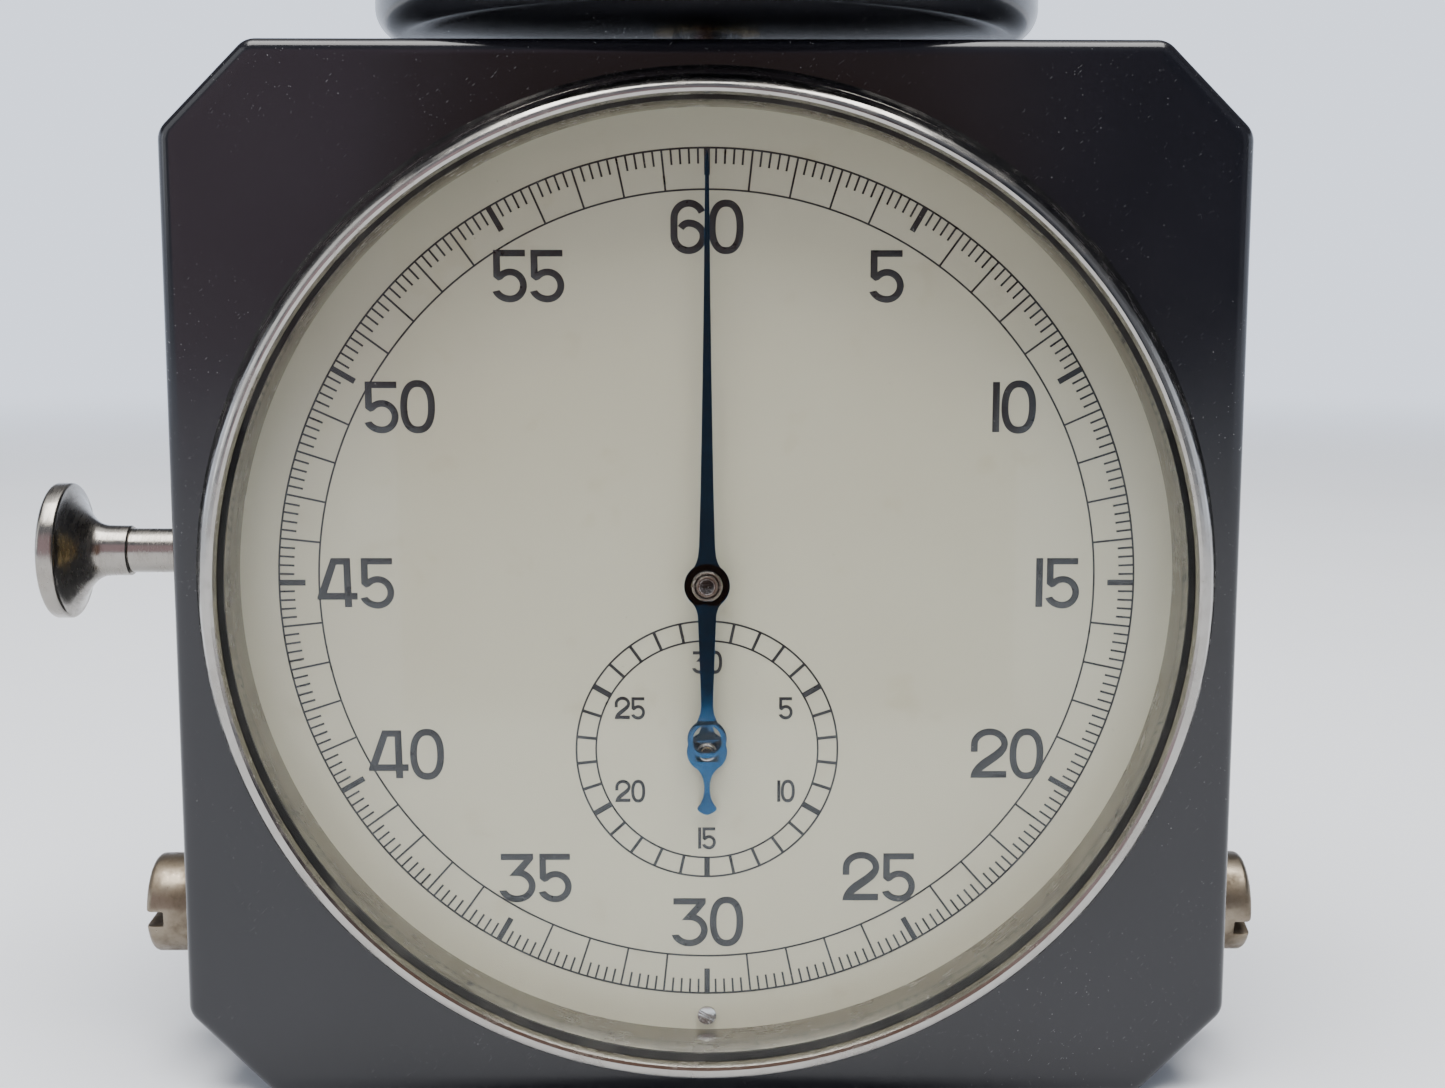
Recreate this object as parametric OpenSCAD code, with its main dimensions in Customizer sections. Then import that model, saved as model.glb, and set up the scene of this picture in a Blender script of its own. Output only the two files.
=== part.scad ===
// Table stopwatch with a square case, a palm knob on top and a reset button on the left.
// Millimetres, +Z up, the dial faces -Y, origin at the centre of the case's bottom face.

/* [Case] */
// Width and height of the square case
case_w = 110; // [90:1:140]
// Depth of the case from its front face to the back of its cover
case_d = 50; // [46:1:70]
// Leg of each cut-off corner
chamfer = 9; // [4:0.5:15]
// Thickness of the case walls
wall = 3; // [2:0.5:5]
// Thickness of the back cover
cover_t = 3; // [2:0.5:5]
// Radius of the posts that take the cover screws
post_r = 4.5; // [3.5:0.5:6]

/* [Bezel and glass] */
// Radius of the bezel's foot on the case
bezel_r = 52.2; // [50:0.1:54]
// Height of the bezel above the front face
bezel_h = 6.3; // [3:0.1:9]
// Thickness of the flat glass
glass_t = 1.9; // [1:0.1:3]
// Inner radius of the polished ring between glass and dial
rehaut_r = 48.5; // [45:0.1:50]

/* [Dial and hands] */
// Depth of the dial's surface behind the front face
dial_depth = 3; // [1:0.5:6]
// Thickness of the dial
dial_t = 0.8; // [0.4:0.1:1.5]
// Distance from the dial's centre down to the minute sub-dial's centre
sub_drop = 17.83; // [15:0.01:20]
// Length of the seconds hand from its centre to its tip
second_len = 44.1; // [40:0.1:46]
// Length of the minute hand's narrow pointer
minute_len = 11.2; // [9:0.1:13]

/* [Controls] */
// Radius of the palm knob
knob_r = 36.5; // [25:0.5:45]
// Height of the palm knob
knob_h = 15; // [10:0.5:20]
// Gap between the case and the knob's underside
knob_gap = 2.4; // [2:0.1:6]
// Outer radius of the reset button's flange
button_r = 7.8; // [5:0.1:10]
// Distance from the case side to the reset button's outer face
button_reach = 20.1; // [12:0.1:25]
// Head radius of the two side screws
side_head_r = 5.4; // [4:0.1:7]
// Height of the side screws above the case bottom
side_screw_z = 17.4; // [15:0.1:25]
// Depth of the side screws behind the front face
side_screw_y = 13; // [10:0.5:20]

/* [Train] */
// Leaves on each ten-leaf pinion
pinion_n = 10; // [8:1:12]
// Teeth on the barrel
barrel_n = 90; // [80:1:100]
// Teeth on the centre wheel
centre_n = 80; // [70:1:90]
// Teeth on the third wheel
third_n = 75; // [70:1:80]
// Teeth on the seconds wheel
seconds_n = 80; // [70:1:90]
// Leaves on the escape pinion
escape_leaves = 8; // [6:1:10]
// Teeth on the intermediate wheel
inter_n = 60; // [50:1:70]
// Teeth on the minute wheel
minute_n = 50; // [40:1:60]
// Teeth on the crown wheel, both rows
crown_n = 24; // [20:1:30]
// Teeth on the ratchet wheel
ratchet_n = 36; // [30:1:40]
// Teeth on the winding pinion
winding_n = 12; // [10:1:14]

/* [Hidden] */
$fn = 96;
eps = 0.05;
running = 0.05;
snug = 0.02;

// Case planes along Y
front_y = -case_d / 2;
panel_y = front_y + wall;
cover_y = case_d / 2 - cover_t;
mid_z = case_w / 2;
side_x = case_w / 2;
inner_w = case_w - 2 * wall;
inner_chamfer = chamfer - wall * (2 - sqrt(2));
post_at = inner_w / 2 - 6.5;
opening_r = 50.05;
cover_screw_r = 1.5;

// Planes of the dial and the movement along Y
dial_y = front_y + dial_depth;
plate_front_y = dial_y + dial_t;
plate_step_y = plate_front_y + 0.8;
plate_y = plate_step_y + 2.4;
bridge_y = plate_y + 10;
bridge_t = 2;
back_y = bridge_y + bridge_t;
plate_r = 51;
dial_r = 49.4;
flange_r = 51.8;

// Glass seat
rehaut_front_y = front_y - 3;
gasket_t = 0.3;
glass_back_y = rehaut_front_y - gasket_t;
glass_y = glass_back_y - glass_t;
glass_r = 49.6;
lip_r = 48.95;

// Gear modules and pitch radii
mod_barrel = 0.4;
mod_third = 0.35;
mod_seconds = 0.28;
mod_minute = 0.45;
mod_wind = 0.6;
face_r = 5.4;
wind_r = face_r * winding_n / crown_n;

function pitch_r(n, m) = n * m / 2;
function polar(r, a) = r * [cos(a), sin(a)];
function heading(p, q) = atan2(q[1] - p[1], q[0] - p[0]);
// Point at distance rp from p and rq from q, on the right going from p to q
function meet(p, rp, q, rq) =
    let (d = norm(q - p), a = (rp * rp - rq * rq + d * d) / (2 * d), u = (q - p) / d)
    p + a * u + sqrt(rp * rp - a * a) * [u[1], -u[0]];
// Tooth angle on wheel b that puts it in mesh with wheel a's tooth at pha
function mesh_phase(na, pha, nb, dir) = dir + 180 + 180 / nb + (na / nb) * (dir - pha);

// Arbor places in the XZ plane
seconds_at = [0, mid_z];
minute_at = [0, mid_z - sub_drop];
barrel_at = seconds_at + [16.5, 21.8];
centre_at = barrel_at + polar(pitch_r(barrel_n + pinion_n, mod_barrel), -50);
third_at = meet(seconds_at, pitch_r(third_n + pinion_n, mod_third), centre_at, pitch_r(centre_n + pinion_n, mod_barrel));
inter_at = meet(seconds_at, pitch_r(inter_n + pinion_n, mod_third), minute_at, pitch_r(minute_n + pinion_n, mod_minute));
escape_at = seconds_at + polar(pitch_r(seconds_n + escape_leaves, mod_seconds), 155);
pallet_at = escape_at + polar(6.6, 145);
balance_at = pallet_at + polar(7.6, 145);
wind_dist = pitch_r(crown_n + ratchet_n, mod_wind);
crown_at = [0, barrel_at[1] + sqrt(wind_dist * wind_dist - barrel_at[0] * barrel_at[0])];
hammer_at = [-22, mid_z - 13];
click_pad = barrel_at + polar(19, -40);
pillar_spots = [seconds_at + polar(43, 99), seconds_at + polar(43, 165), seconds_at + polar(43, 215),
    seconds_at + polar(43, 270), seconds_at + polar(43, 325), seconds_at + polar(46, 33)];
pillar_r = 2.5;
clamp_boss_r = 56;

// Arbor radii
second_arbor_r = 0.8;
minute_arbor_r = 0.6;
thin_arbor_r = 0.5;
barrel_arbor_r = 1.5;

// Winding column
pinion_z = crown_at[1] + face_r - 0.9;
pinion_len = 1.8;
square_w = 2.2;
stem_r = 2.5;
sleeve_r = 4;
bracket_z = crown_at[1] + 8.3;
bracket_t = 2;
sleeve_z = bracket_z + bracket_t + 4.8;
knob_z = case_w + knob_gap;

// Reset column
reset_z = mid_z + 0.4;
reset_r = 2.55;
guide_x = -38;
guide_t = 3;
collar_x = -50;
collar_t = 1.6;

module octagon(w, c) {
    h = w / 2;
    polygon([[-h, c - h], [c - h, -h], [h - c, -h], [h, c - h], [h, h - c], [h - c, h], [c - h, h], [-h, h - c]]);
}

// Extrudes a shape drawn as X and Z from plane y towards +Y
module slab(p, y, t) {
    translate([p[0], y + t, p[1]]) rotate([90, 0, 0]) linear_extrude(height = t) children();
}

module disc(p, y, t, r) {
    slab(p, y, t) circle(r = r);
}

module ring(p, y, t, r_out, r_in) {
    slab(p, y, t) difference() {
        circle(r = r_out);
        circle(r = r_in);
    }
}

module bar(p, q, w) {
    translate(p) rotate(heading(p, q)) translate([0, -w / 2]) square([norm(q - p), w]);
}

// Bar with round ends between two points, a little narrower than its ends
module link(p, q, r) {
    translate(p) circle(r = r);
    translate(q) circle(r = r);
    bar(p, q, 1.9 * r);
}

// Round pads joined by bars, each pad a place and a radius, each bar two pad numbers and a width
module web(pads, bars) {
    for (s = pads) translate(s[0]) circle(r = s[1]);
    for (b = bars) bar(pads[b[0]][0], pads[b[1]][0], b[2]);
}

// Turns a profile of radius and height towards -Y into a round piece about the axis through p
module turned_y(p) {
    translate([p[0], 0, p[1]]) rotate([90, 0, 0]) rotate_extrude() children();
}

// Straight-sided teeth with wide gaps, phase is the angle of one tooth
module toothed(n, m, phase, add = 0.9, ded = 1.15) {
    r = pitch_r(n, m);
    step = 360 / n;
    polygon([for (i = [0:n - 1]) for (k = [0:3])
        polar(k == 0 || k == 3 ? r - ded * m : r + add * m,
            phase + step * (i + (k < 2 ? -1 : 1) * (k == 0 || k == 3 ? 0.25 : 0.09)))]);
}

module spokes(r_in, r_out, count, width) {
    difference() {
        circle(r = r_out);
        circle(r = r_in);
        for (i = [0:count - 1]) rotate(360 / count * i) translate([0, -width / 2]) square([r_out + 1, width]);
    }
}

// Wheel with a toothed rim, a hub and spokes
module wheel(n, m, phase, hub_r, rim_w, bore_r, count = 5) {
    difference() {
        toothed(n, m, phase);
        spokes(hub_r, pitch_r(n, m) - rim_w, count, 1.2);
        circle(r = bore_r);
    }
}

function spiral(r0, r1, turns, w, steps) = concat(
    [for (i = [0:steps]) polar(r0 + (r1 - r0) * i / steps, 360 * turns * i / steps)],
    [for (i = [steps:-1:0]) polar(r0 + (r1 - r0) * i / steps + w, 360 * turns * i / steps)]);

function heart(r_low, r_high, steps) =
    [for (i = [0:steps - 1]) polar(r_low + (r_high - r_low) * (1 - abs(1 - 2 * i / steps)), 360 * i / steps)];

function arc(cx, cy, r, a0, a1, steps) =
    [for (i = [0:steps]) [cx, cy] + polar(r, a0 + (a1 - a0) * i / steps)];

// Helical spring of round wire standing on z = 0
module coil(r, wire, turns, h) {
    sides = 6;
    per_turn = 14;
    steps = turns * per_turn;
    function at(i, k) = i * sides + k % sides;
    polyhedron(
        points = [for (i = [0:steps]) for (k = [0:sides - 1])
            let (a = 360 * i / per_turn, b = 360 * k / sides, q = r + wire * cos(b))
            [q * cos(a), q * sin(a), wire + (h - 2 * wire) * i / steps + wire * sin(b)]],
        faces = concat(
            [[for (k = [sides - 1:-1:0]) at(0, k)], [for (k = [0:sides - 1]) at(steps, k)]],
            [for (i = [0:steps - 1]) for (k = [0:sides - 1]) [at(i, k), at(i, k + 1), at(i + 1, k + 1)]],
            [for (i = [0:steps - 1]) for (k = [0:sides - 1]) [at(i, k), at(i + 1, k + 1), at(i + 1, k)]]));
}

module case_body() {
    color([0.05, 0.05, 0.06]) difference() {
        union() {
            slab([0, mid_z], front_y, cover_y - front_y) difference() {
                octagon(case_w, chamfer);
                octagon(inner_w, inner_chamfer);
            }
            slab([0, mid_z], front_y, wall) octagon(case_w - wall, chamfer - 0.5);
            for (sx = [-1, 1], sz = [-1, 1]) {
                disc([sx * post_at, mid_z + sz * post_at], panel_y - eps, cover_y - panel_y + eps, post_r);
                disc([0, mid_z] + clamp_boss_r / sqrt(2) * [sx, sz], panel_y - eps, plate_y - panel_y + eps, 3);
            }
            for (sx = [-1, 1]) {
                translate([sx * (side_x - wall - 3.9), front_y + side_screw_y, side_screw_z]) cube([8, 10, 10], center = true);
            }
        }
        disc([0, mid_z], front_y - 1, wall + 2, opening_r);
        translate([0, 0, case_w - wall - 1]) cylinder(h = wall + 2, r = 6 + snug);
        translate([-side_x - 1, 0, reset_z]) rotate([0, 90, 0]) cylinder(h = wall + 2, r = 4.4 + snug);
        for (sx = [-1, 1]) {
            translate([sx * side_x, front_y + side_screw_y, side_screw_z]) rotate([0, 90, 0])
                cylinder(h = 24, r = 2.5 + snug, center = true);
            for (sz = [-1, 1]) {
                disc([sx * post_at, mid_z + sz * post_at], cover_y - 8, 8 + 1, cover_screw_r + snug);
                disc([0, mid_z] + clamp_boss_r / sqrt(2) * [sx, sz], plate_y - 2.6, 2.6 + 1, 1 + snug);
            }
        }
    }
}

module back_cover() {
    color([0.06, 0.06, 0.07]) difference() {
        union() {
            slab([0, mid_z], cover_y, cover_t) octagon(case_w, chamfer);
            slab([0, mid_z], cover_y - 1.5, 1.5) difference() {
                octagon(inner_w - 0.4, inner_chamfer);
                octagon(inner_w - 3.4, inner_chamfer - 0.9);
                for (sx = [-1, 1], sz = [-1, 1]) translate([sx, sz] * post_at) circle(r = post_r + 0.3);
            }
        }
        for (sx = [-1, 1], sz = [-1, 1]) {
            disc([sx, sz] * post_at + [0, mid_z], cover_y - 1, cover_t + 2, cover_screw_r + snug);
            turned_y([sx, sz] * post_at + [0, mid_z])
                polygon([[0, -case_d / 2 - 1], [3.1, -case_d / 2 - 1], [3.1, -case_d / 2 + 0.4], [1.5, -case_d / 2 + 2], [0, -case_d / 2 + 2]]);
        }
    }
}

module cover_screws() {
    color([0.7, 0.68, 0.62]) for (sx = [-1, 1], sz = [-1, 1]) difference() {
        union() {
            turned_y([sx, sz] * post_at + [0, mid_z])
                polygon([[0, -case_d / 2], [3.05, -case_d / 2], [3.05, -case_d / 2 + 0.4], [1.5, -case_d / 2 + 1.9],
                    [1.5, -cover_y + 7], [0, -cover_y + 7]]);
        }
        translate([sx * post_at, case_d / 2, mid_z + sz * post_at]) rotate([0, 35 + 50 * sx + 20 * sz, 0])
            cube([7, 1.6, 0.8], center = true);
    }
}

module bezel_ring() {
    top_y = front_y - bezel_h;
    groove_y = front_y - 2.8;
    color([0.78, 0.78, 0.76]) turned_y([0, mid_z]) polygon(concat(
        [[opening_r + 0.05, -front_y], [bezel_r, -front_y], [bezel_r - 0.15, -front_y + 0.9], [bezel_r - 0.85, -groove_y - 0.1],
            [51.08, -groove_y], [51.08, -groove_y + 0.25], [51.22, -groove_y + 0.3]],
        arc(45.4, -groove_y + 0.3 - 0.3, 5.83, 3, 33.4, 7),
        [[49.76, -top_y - 0.05], [49.45, -top_y], [49.15, -top_y - 0.15], [lip_r, -glass_y + 0.5], [lip_r, -glass_y],
            [glass_r + 0.05, -glass_y], [glass_r + 0.05, -rehaut_front_y + 0.1], [opening_r + 0.05, -rehaut_front_y + 0.1]]));
}

module crystal() {
    color([0.8, 0.9, 0.88, 0.35]) disc([0, mid_z], glass_y, glass_t, glass_r);
}

module crystal_gasket() {
    color([0.12, 0.12, 0.12]) ring([0, mid_z], glass_back_y, gasket_t, glass_r - 0.1, rehaut_r + 0.15);
}

module rehaut_ring() {
    color([0.8, 0.8, 0.78]) difference() {
        union() {
            disc([0, mid_z], rehaut_front_y, panel_y - rehaut_front_y + eps, opening_r - 0.05);
            disc([0, mid_z], panel_y, plate_step_y - panel_y, flange_r);
        }
        disc([0, mid_z], rehaut_front_y - 1, dial_y - rehaut_front_y + 1 + eps, rehaut_r);
        disc([0, mid_z], dial_y, plate_step_y - dial_y + 1, dial_r + 0.05);
    }
}

module dial() {
    color([0.86, 0.85, 0.78]) difference() {
        disc([0, mid_z], dial_y, dial_t, dial_r);
        disc(seconds_at, dial_y - 1, dial_t + 2, 1.9);
        disc(minute_at, dial_y - 1, dial_t + 2, 1.2);
        disc([0, mid_z - 46.9], dial_y - 1, dial_t + 2, 0.5 + snug);
    }
}

module dial_screw() {
    color([0.5, 0.52, 0.55]) difference() {
        union() {
            disc([0, mid_z - 46.9], dial_y - 0.35, 0.35, 1);
            disc([0, mid_z - 46.9], dial_y - eps, 2, 0.5);
        }
        translate([0, dial_y - 0.35, mid_z - 46.9]) rotate([0, 30, 0]) cube([3, 0.3, 0.25], center = true);
    }
}

module case_clamps() {
    color([0.75, 0.66, 0.42]) for (a = [45:90:315]) difference() {
        slab(seconds_at, plate_y, 1.4) rotate(a) translate([47.5, -3.5]) square([11.5, 7]);
        disc(seconds_at + polar(clamp_boss_r, a), plate_y - 1, 4, 1 + snug);
    }
}

module movement_screws() {
    color([0.25, 0.3, 0.45]) {
        for (a = [45:90:315]) difference() {
            union() {
                disc(seconds_at + polar(clamp_boss_r, a), plate_y + 1.4, 1.4, 2.2);
                disc(seconds_at + polar(clamp_boss_r, a), plate_y - 2.4, 4, 1);
            }
            slab(seconds_at + polar(clamp_boss_r, a), plate_y + 2, 2) rotate(a) square([6, 0.6], center = true);
        }
        for (p = pillar_spots) difference() {
            union() {
                disc(p, back_y, 1, 1.9);
                disc(p, back_y - 5, 5.5, 0.8);
            }
            slab(p, back_y + 0.5, 2) rotate(heading(seconds_at, p) + 60) square([5, 0.5], center = true);
        }
    }
}

module side_screw(sx, head_l, tilt) {
    color([0.62, 0.57, 0.47]) translate([sx * side_x, front_y + side_screw_y, side_screw_z])
        rotate([0, 90 * sx, 0]) difference() {
            union() {
                translate([0, 0, -10]) cylinder(h = 10 + 1, r = 2.5);
                translate([0, 0, 0.6]) rotate_extrude() polygon(concat([[0, 0], [side_head_r, 0]],
                    arc(side_head_r - 0.7, head_l - 0.7, 0.7, 0, 90, 5), [[0, head_l]]));
            }
            translate([0, 0, head_l + 0.6]) rotate([0, 0, tilt]) cube([1.6, 14, 3.8], center = true);
        }
}

module side_screw_left() {
    side_screw(-1, 5.7, 20);
}

module side_screw_right() {
    side_screw(1, 4.2, 18);
}

module side_washers() {
    color([0.12, 0.11, 0.1]) for (sx = [-1, 1])
        translate([sx * (side_x + 0.3), front_y + side_screw_y, side_screw_z]) rotate([0, 90, 0]) difference() {
            cylinder(h = 0.6, r = side_head_r - 0.5, center = true);
            cylinder(h = 2, r = 2.5 + snug, center = true);
        }
}

module stem_bushing() {
    color([0.75, 0.66, 0.42]) difference() {
        union() {
            translate([0, 0, case_w - wall - eps]) cylinder(h = wall + 0.3, r = 6);
            translate([0, 0, case_w - wall - 1.6]) cylinder(h = 1.6, r = 8);
        }
        translate([0, 0, case_w - wall - 3]) cylinder(h = wall + 6, r = sleeve_r + running);
    }
}

module stem_sleeve() {
    color([0.7, 0.7, 0.7]) difference() {
        union() {
            translate([0, 0, sleeve_z]) cylinder(h = knob_z - snug - sleeve_z, r = sleeve_r);
            translate([0, 0, sleeve_z]) cylinder(h = 1.5, r = 6);
        }
        translate([0, 0, sleeve_z - 1]) cylinder(h = knob_z - sleeve_z + 2, r = stem_r + running);
    }
}

module knob_stem() {
    color([0.65, 0.65, 0.66]) union() {
        translate([0, 0, pinion_z + pinion_len + 1.9]) cylinder(h = knob_z + 9 - pinion_z - pinion_len - 1.9, r = stem_r);
        translate([-square_w / 2, -square_w / 2, pinion_z - 1]) cube([square_w, square_w, pinion_len + 4]);
    }
}

module start_knob() {
    edge = 3;
    crown_r = 260;
    side_h = knob_h - 1.6;
    color([0.04, 0.04, 0.045]) translate([0, 0, knob_z]) difference() {
        rotate_extrude($fn = 180) polygon(concat([[0, 0], [knob_r - edge, 0]],
            arc(knob_r - edge, edge, edge, -90, 0, 8),
            arc(knob_r - 4, side_h - 4, 4, 0, 83, 8),
            [for (i = [4:-1:0]) let (x = (knob_r - 5) * i / 5) [x, knob_h - (crown_r - sqrt(crown_r * crown_r - x * x))]]));
        translate([0, 0, -1]) cylinder(h = 10.1, r = stem_r + snug);
    }
}

module start_spring() {
    color([0.6, 0.6, 0.62]) translate([0, 0, bracket_z + bracket_t + 0.4]) coil(5, 0.35, 4, 4);
}

module winding_pinion() {
    color([0.7, 0.7, 0.72]) translate([0, 0, pinion_z]) linear_extrude(height = pinion_len) difference() {
        toothed(winding_n, 2 * wind_r / winding_n, -90);
        square(square_w + 2 * running, center = true);
    }
}

module crown_wheel() {
    color([0.72, 0.7, 0.62]) union() {
        difference() {
            slab(crown_at, back_y + 0.1, 2.4) toothed(crown_n, mod_wind, 0);
            disc(crown_at, back_y, 4, 1.5 + running);
        }
        for (i = [0:crown_n - 1]) translate([crown_at[0], back_y + 2.45, crown_at[1]])
            rotate([0, -90 + 360 / crown_n * (i + 0.5), 0]) translate([0, 0, -face_r - 0.9]) linear_extrude(height = pinion_len)
                polygon([[-0.36, 0], [0.36, 0], [0.14, 1.2], [-0.14, 1.2]]);
    }
}

module fixed_studs() {
    color([0.6, 0.6, 0.62]) {
        disc(crown_at, back_y, 3.3, 1.5);
        disc(crown_at, back_y + 2.7, 0.8, 2.4);
        disc(hammer_at, back_y, 6, 1.2);
        disc(pallet_at, plate_y, 7.2, 0.5);
    }
}

module ratchet_wheel() {
    color([0.72, 0.7, 0.62]) slab(barrel_at, back_y + 0.3, 1.4) difference() {
        toothed(ratchet_n, mod_wind, mesh_phase(crown_n, 0, ratchet_n, heading(crown_at, barrel_at)));
        circle(r = barrel_arbor_r + snug);
        for (a = [0:90:270]) rotate(a) translate([6.4, 0]) circle(r = 2);
    }
}

module click() {
    tip = barrel_at + polar(pitch_r(ratchet_n, mod_wind) + 0.9, -15);
    pivot = tip + polar(7, -70);
    color([0.6, 0.6, 0.62]) difference() {
        slab([0, 0], back_y + 0.3, 1.4) union() {
            link(pivot, tip + polar(2.2, -50), 1.4);
            polygon([tip, tip + polar(3, -30), tip + polar(3.6, -75)]);
        }
        disc(pivot, back_y, 3, 0.6);
    }
}

module click_spring() {
    tip = barrel_at + polar(pitch_r(ratchet_n, mod_wind) + 0.9, -15);
    pivot = tip + polar(7, -70);
    color([0.6, 0.6, 0.62]) slab([0, 0], back_y + 0.4, 1) union() {
        link(pivot + [3.4, 0.4], pivot + [2.4, 9], 0.25);
        translate(pivot + [3.4, -0.6]) circle(r = 1.2);
    }
}

module barrel_drum() {
    color([0.8, 0.68, 0.4]) union() {
        slab(barrel_at, plate_y + 0.6, 1.2) difference() {
            toothed(barrel_n, mod_barrel, 0);
            circle(r = barrel_arbor_r + running);
        }
        ring(barrel_at, plate_y + 1.8 - eps, 2.9 + eps, 16.6, 15.7);
    }
}

module barrel_cover() {
    color([0.8, 0.68, 0.4]) ring(barrel_at, plate_y + 4.7, 0.6, 16.6, barrel_arbor_r + running);
}

module mainspring() {
    color([0.35, 0.38, 0.45]) slab(barrel_at, plate_y + 2, 2.5) polygon(spiral(3.4, 15, 6, 0.4, 90));
}

module barrel_arbor() {
    color([0.65, 0.65, 0.67]) union() {
        disc(barrel_at, plate_y - 2, back_y + 2.4 - plate_y + 2, barrel_arbor_r);
        disc(barrel_at, plate_y + 1.9, 2.7, 3);
        disc(barrel_at, back_y + 1.7, 0.9, 2.6);
    }
}

// Arbor with leaves between two planes
module leaf_arbor(p, r, y0, y1, n, m, phase, leaf_y, leaf_l) {
    disc(p, y0, y1 - y0, r);
    slab(p, leaf_y, leaf_l) toothed(n, m, phase, 0.75, 1.05);
}

module centre_wheel() {
    barrel_phase = mesh_phase(barrel_n, 0, pinion_n, heading(barrel_at, centre_at));
    color([0.8, 0.68, 0.4]) union() {
        leaf_arbor(centre_at, 0.7, plate_y - 2, back_y - 0.3, pinion_n, mod_barrel, barrel_phase, plate_y + 0.3, 2.2);
        slab(centre_at, plate_y + 5.8, 0.8) wheel(centre_n, mod_barrel, 0, 3.2, 2, 0.6);
    }
}

module third_wheel() {
    phase = mesh_phase(centre_n, 0, pinion_n, heading(centre_at, third_at));
    color([0.8, 0.68, 0.4]) union() {
        leaf_arbor(third_at, thin_arbor_r, plate_y - 2, back_y - 0.3, pinion_n, mod_barrel, phase, plate_y + 5.2, 2);
        slab(third_at, plate_y + 7.5, 0.8) wheel(third_n, mod_third, 0, 2.6, 1.8, 0.4);
    }
}

module seconds_arbor() {
    phase = mesh_phase(third_n, 0, pinion_n, heading(third_at, seconds_at));
    color([0.68, 0.68, 0.7]) leaf_arbor(seconds_at, second_arbor_r, front_y - 0.1, back_y + 5.2, pinion_n, mod_third, phase,
        plate_y + 1, 7.6);
}

module seconds_wheel() {
    color([0.8, 0.68, 0.4]) slab(seconds_at, plate_y + 8.8, 0.8) wheel(seconds_n, mod_seconds, 0, 2.4, 1.6, second_arbor_r + snug);
}

module seconds_heart() {
    color([0.6, 0.6, 0.62]) difference() {
        slab(seconds_at, back_y + 3, 2) rotate(-90) polygon(heart(1.7, 4, 40));
        disc(seconds_at, back_y, 9, second_arbor_r + snug);
    }
}

module intermediate_wheel() {
    seconds_phase = mesh_phase(third_n, 0, pinion_n, heading(third_at, seconds_at));
    color([0.8, 0.68, 0.4]) union() {
        slab(inter_at, plate_y + 1.6, 0.8)
            wheel(inter_n, mod_third, mesh_phase(pinion_n, seconds_phase, inter_n, heading(seconds_at, inter_at)), 3.6, 1.6, 0.4);
        leaf_arbor(inter_at, thin_arbor_r, plate_y - 2, back_y - 0.3, pinion_n, mod_minute, 0, plate_y + 3.4, 2);
    }
}

module minute_wheel() {
    color([0.8, 0.68, 0.4]) union() {
        slab(minute_at, plate_y + 4, 0.8)
            wheel(minute_n, mod_minute, mesh_phase(pinion_n, 0, minute_n, heading(inter_at, minute_at)), 2.6, 1.8, 0.5);
        disc(minute_at, dial_y - 1.4, back_y + 5.2 - dial_y + 1.4, minute_arbor_r);
    }
}

module minute_heart() {
    color([0.6, 0.6, 0.62]) difference() {
        slab(minute_at, back_y + 3, 2) rotate(90) polygon(heart(1.5, 3.4, 40));
        disc(minute_at, back_y, 9, minute_arbor_r + snug);
    }
}

module second_hand() {
    hand_y = dial_y - 2.5;
    ring_drop = 16.1;
    color([0.1, 0.16, 0.3]) union() {
        slab(seconds_at, hand_y, 0.35) difference() {
            union() {
                polygon([[-0.9, 0], [-0.49, 25], [-0.22, second_len - 0.6], [0, second_len], [0.22, second_len - 0.6], [0.49, 25], [0.9, 0]]);
                polygon([[-1, 0], [1, 0], [0.65, 1.8 - ring_drop], [-0.65, 1.8 - ring_drop]]);
                translate([0, -ring_drop]) circle(r = 2.05);
            }
            circle(r = 1.57 + snug);
            translate([0, -ring_drop]) circle(r = 1.45);
        }
        ring(seconds_at, hand_y - 0.15, 0.65, 2.38, 1.57 + snug);
    }
}

module second_pipe() {
    color([0.72, 0.72, 0.72]) ring(seconds_at, dial_y - 3, 2.2, 1.57, second_arbor_r + snug);
}

module minute_hand() {
    hand_y = dial_y - 0.95;
    color([0.1, 0.16, 0.3]) union() {
        slab(minute_at, hand_y, 0.3) difference() {
            union() {
                polygon([[-0.55, 0], [-0.15, minute_len - 0.4], [0, minute_len], [0.15, minute_len - 0.4], [0.55, 0]]);
                polygon([[-0.24, 0], [0.24, 0], [0.24, -2.6], [1.03, -6.8], [-1.03, -6.8], [-0.24, -2.6]]);
                circle(r = 2.13);
            }
            circle(r = 0.98 + snug);
        }
    }
}

module minute_pipe() {
    color([0.72, 0.72, 0.72]) ring(minute_at, dial_y - 1.3, 1.1, 0.98, minute_arbor_r + snug);
}

module reset_button() {
    outer = -side_x - button_reach;
    color([0.74, 0.72, 0.66]) translate([outer, 0, reset_z]) rotate([0, 90, 0]) difference() {
        rotate_extrude() polygon(concat([[0, 0], [button_r - 0.4, 0], [button_r, 0.3], [button_r, 1.8], [button_r - 0.3, 2.1]],
            [for (i = [0:8]) let (t = i / 8) [2.9 + (button_r - 3.4) * pow(1 - t, 2.2), 2.1 + 4.2 * t]],
            [[2.9, 6.5], [3.15, 6.7], [3.15, 7.5], [2.75, 7.6], [2.75, 7.9], [3.1, 8], [3.1, 8.8], [0, 8.8]]));
        translate([0, 0, 4]) cylinder(h = 6, r = 1.6 + snug);
    }
}

module reset_stem() {
    start = -side_x - button_reach + 8.8;
    color([0.7, 0.7, 0.68]) translate([start, 0, reset_z]) rotate([0, 90, 0]) union() {
        cylinder(h = -25.3 - start, r = reset_r);
        translate([0, 0, -4.5]) cylinder(h = 5, r = 1.6);
    }
}

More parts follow.
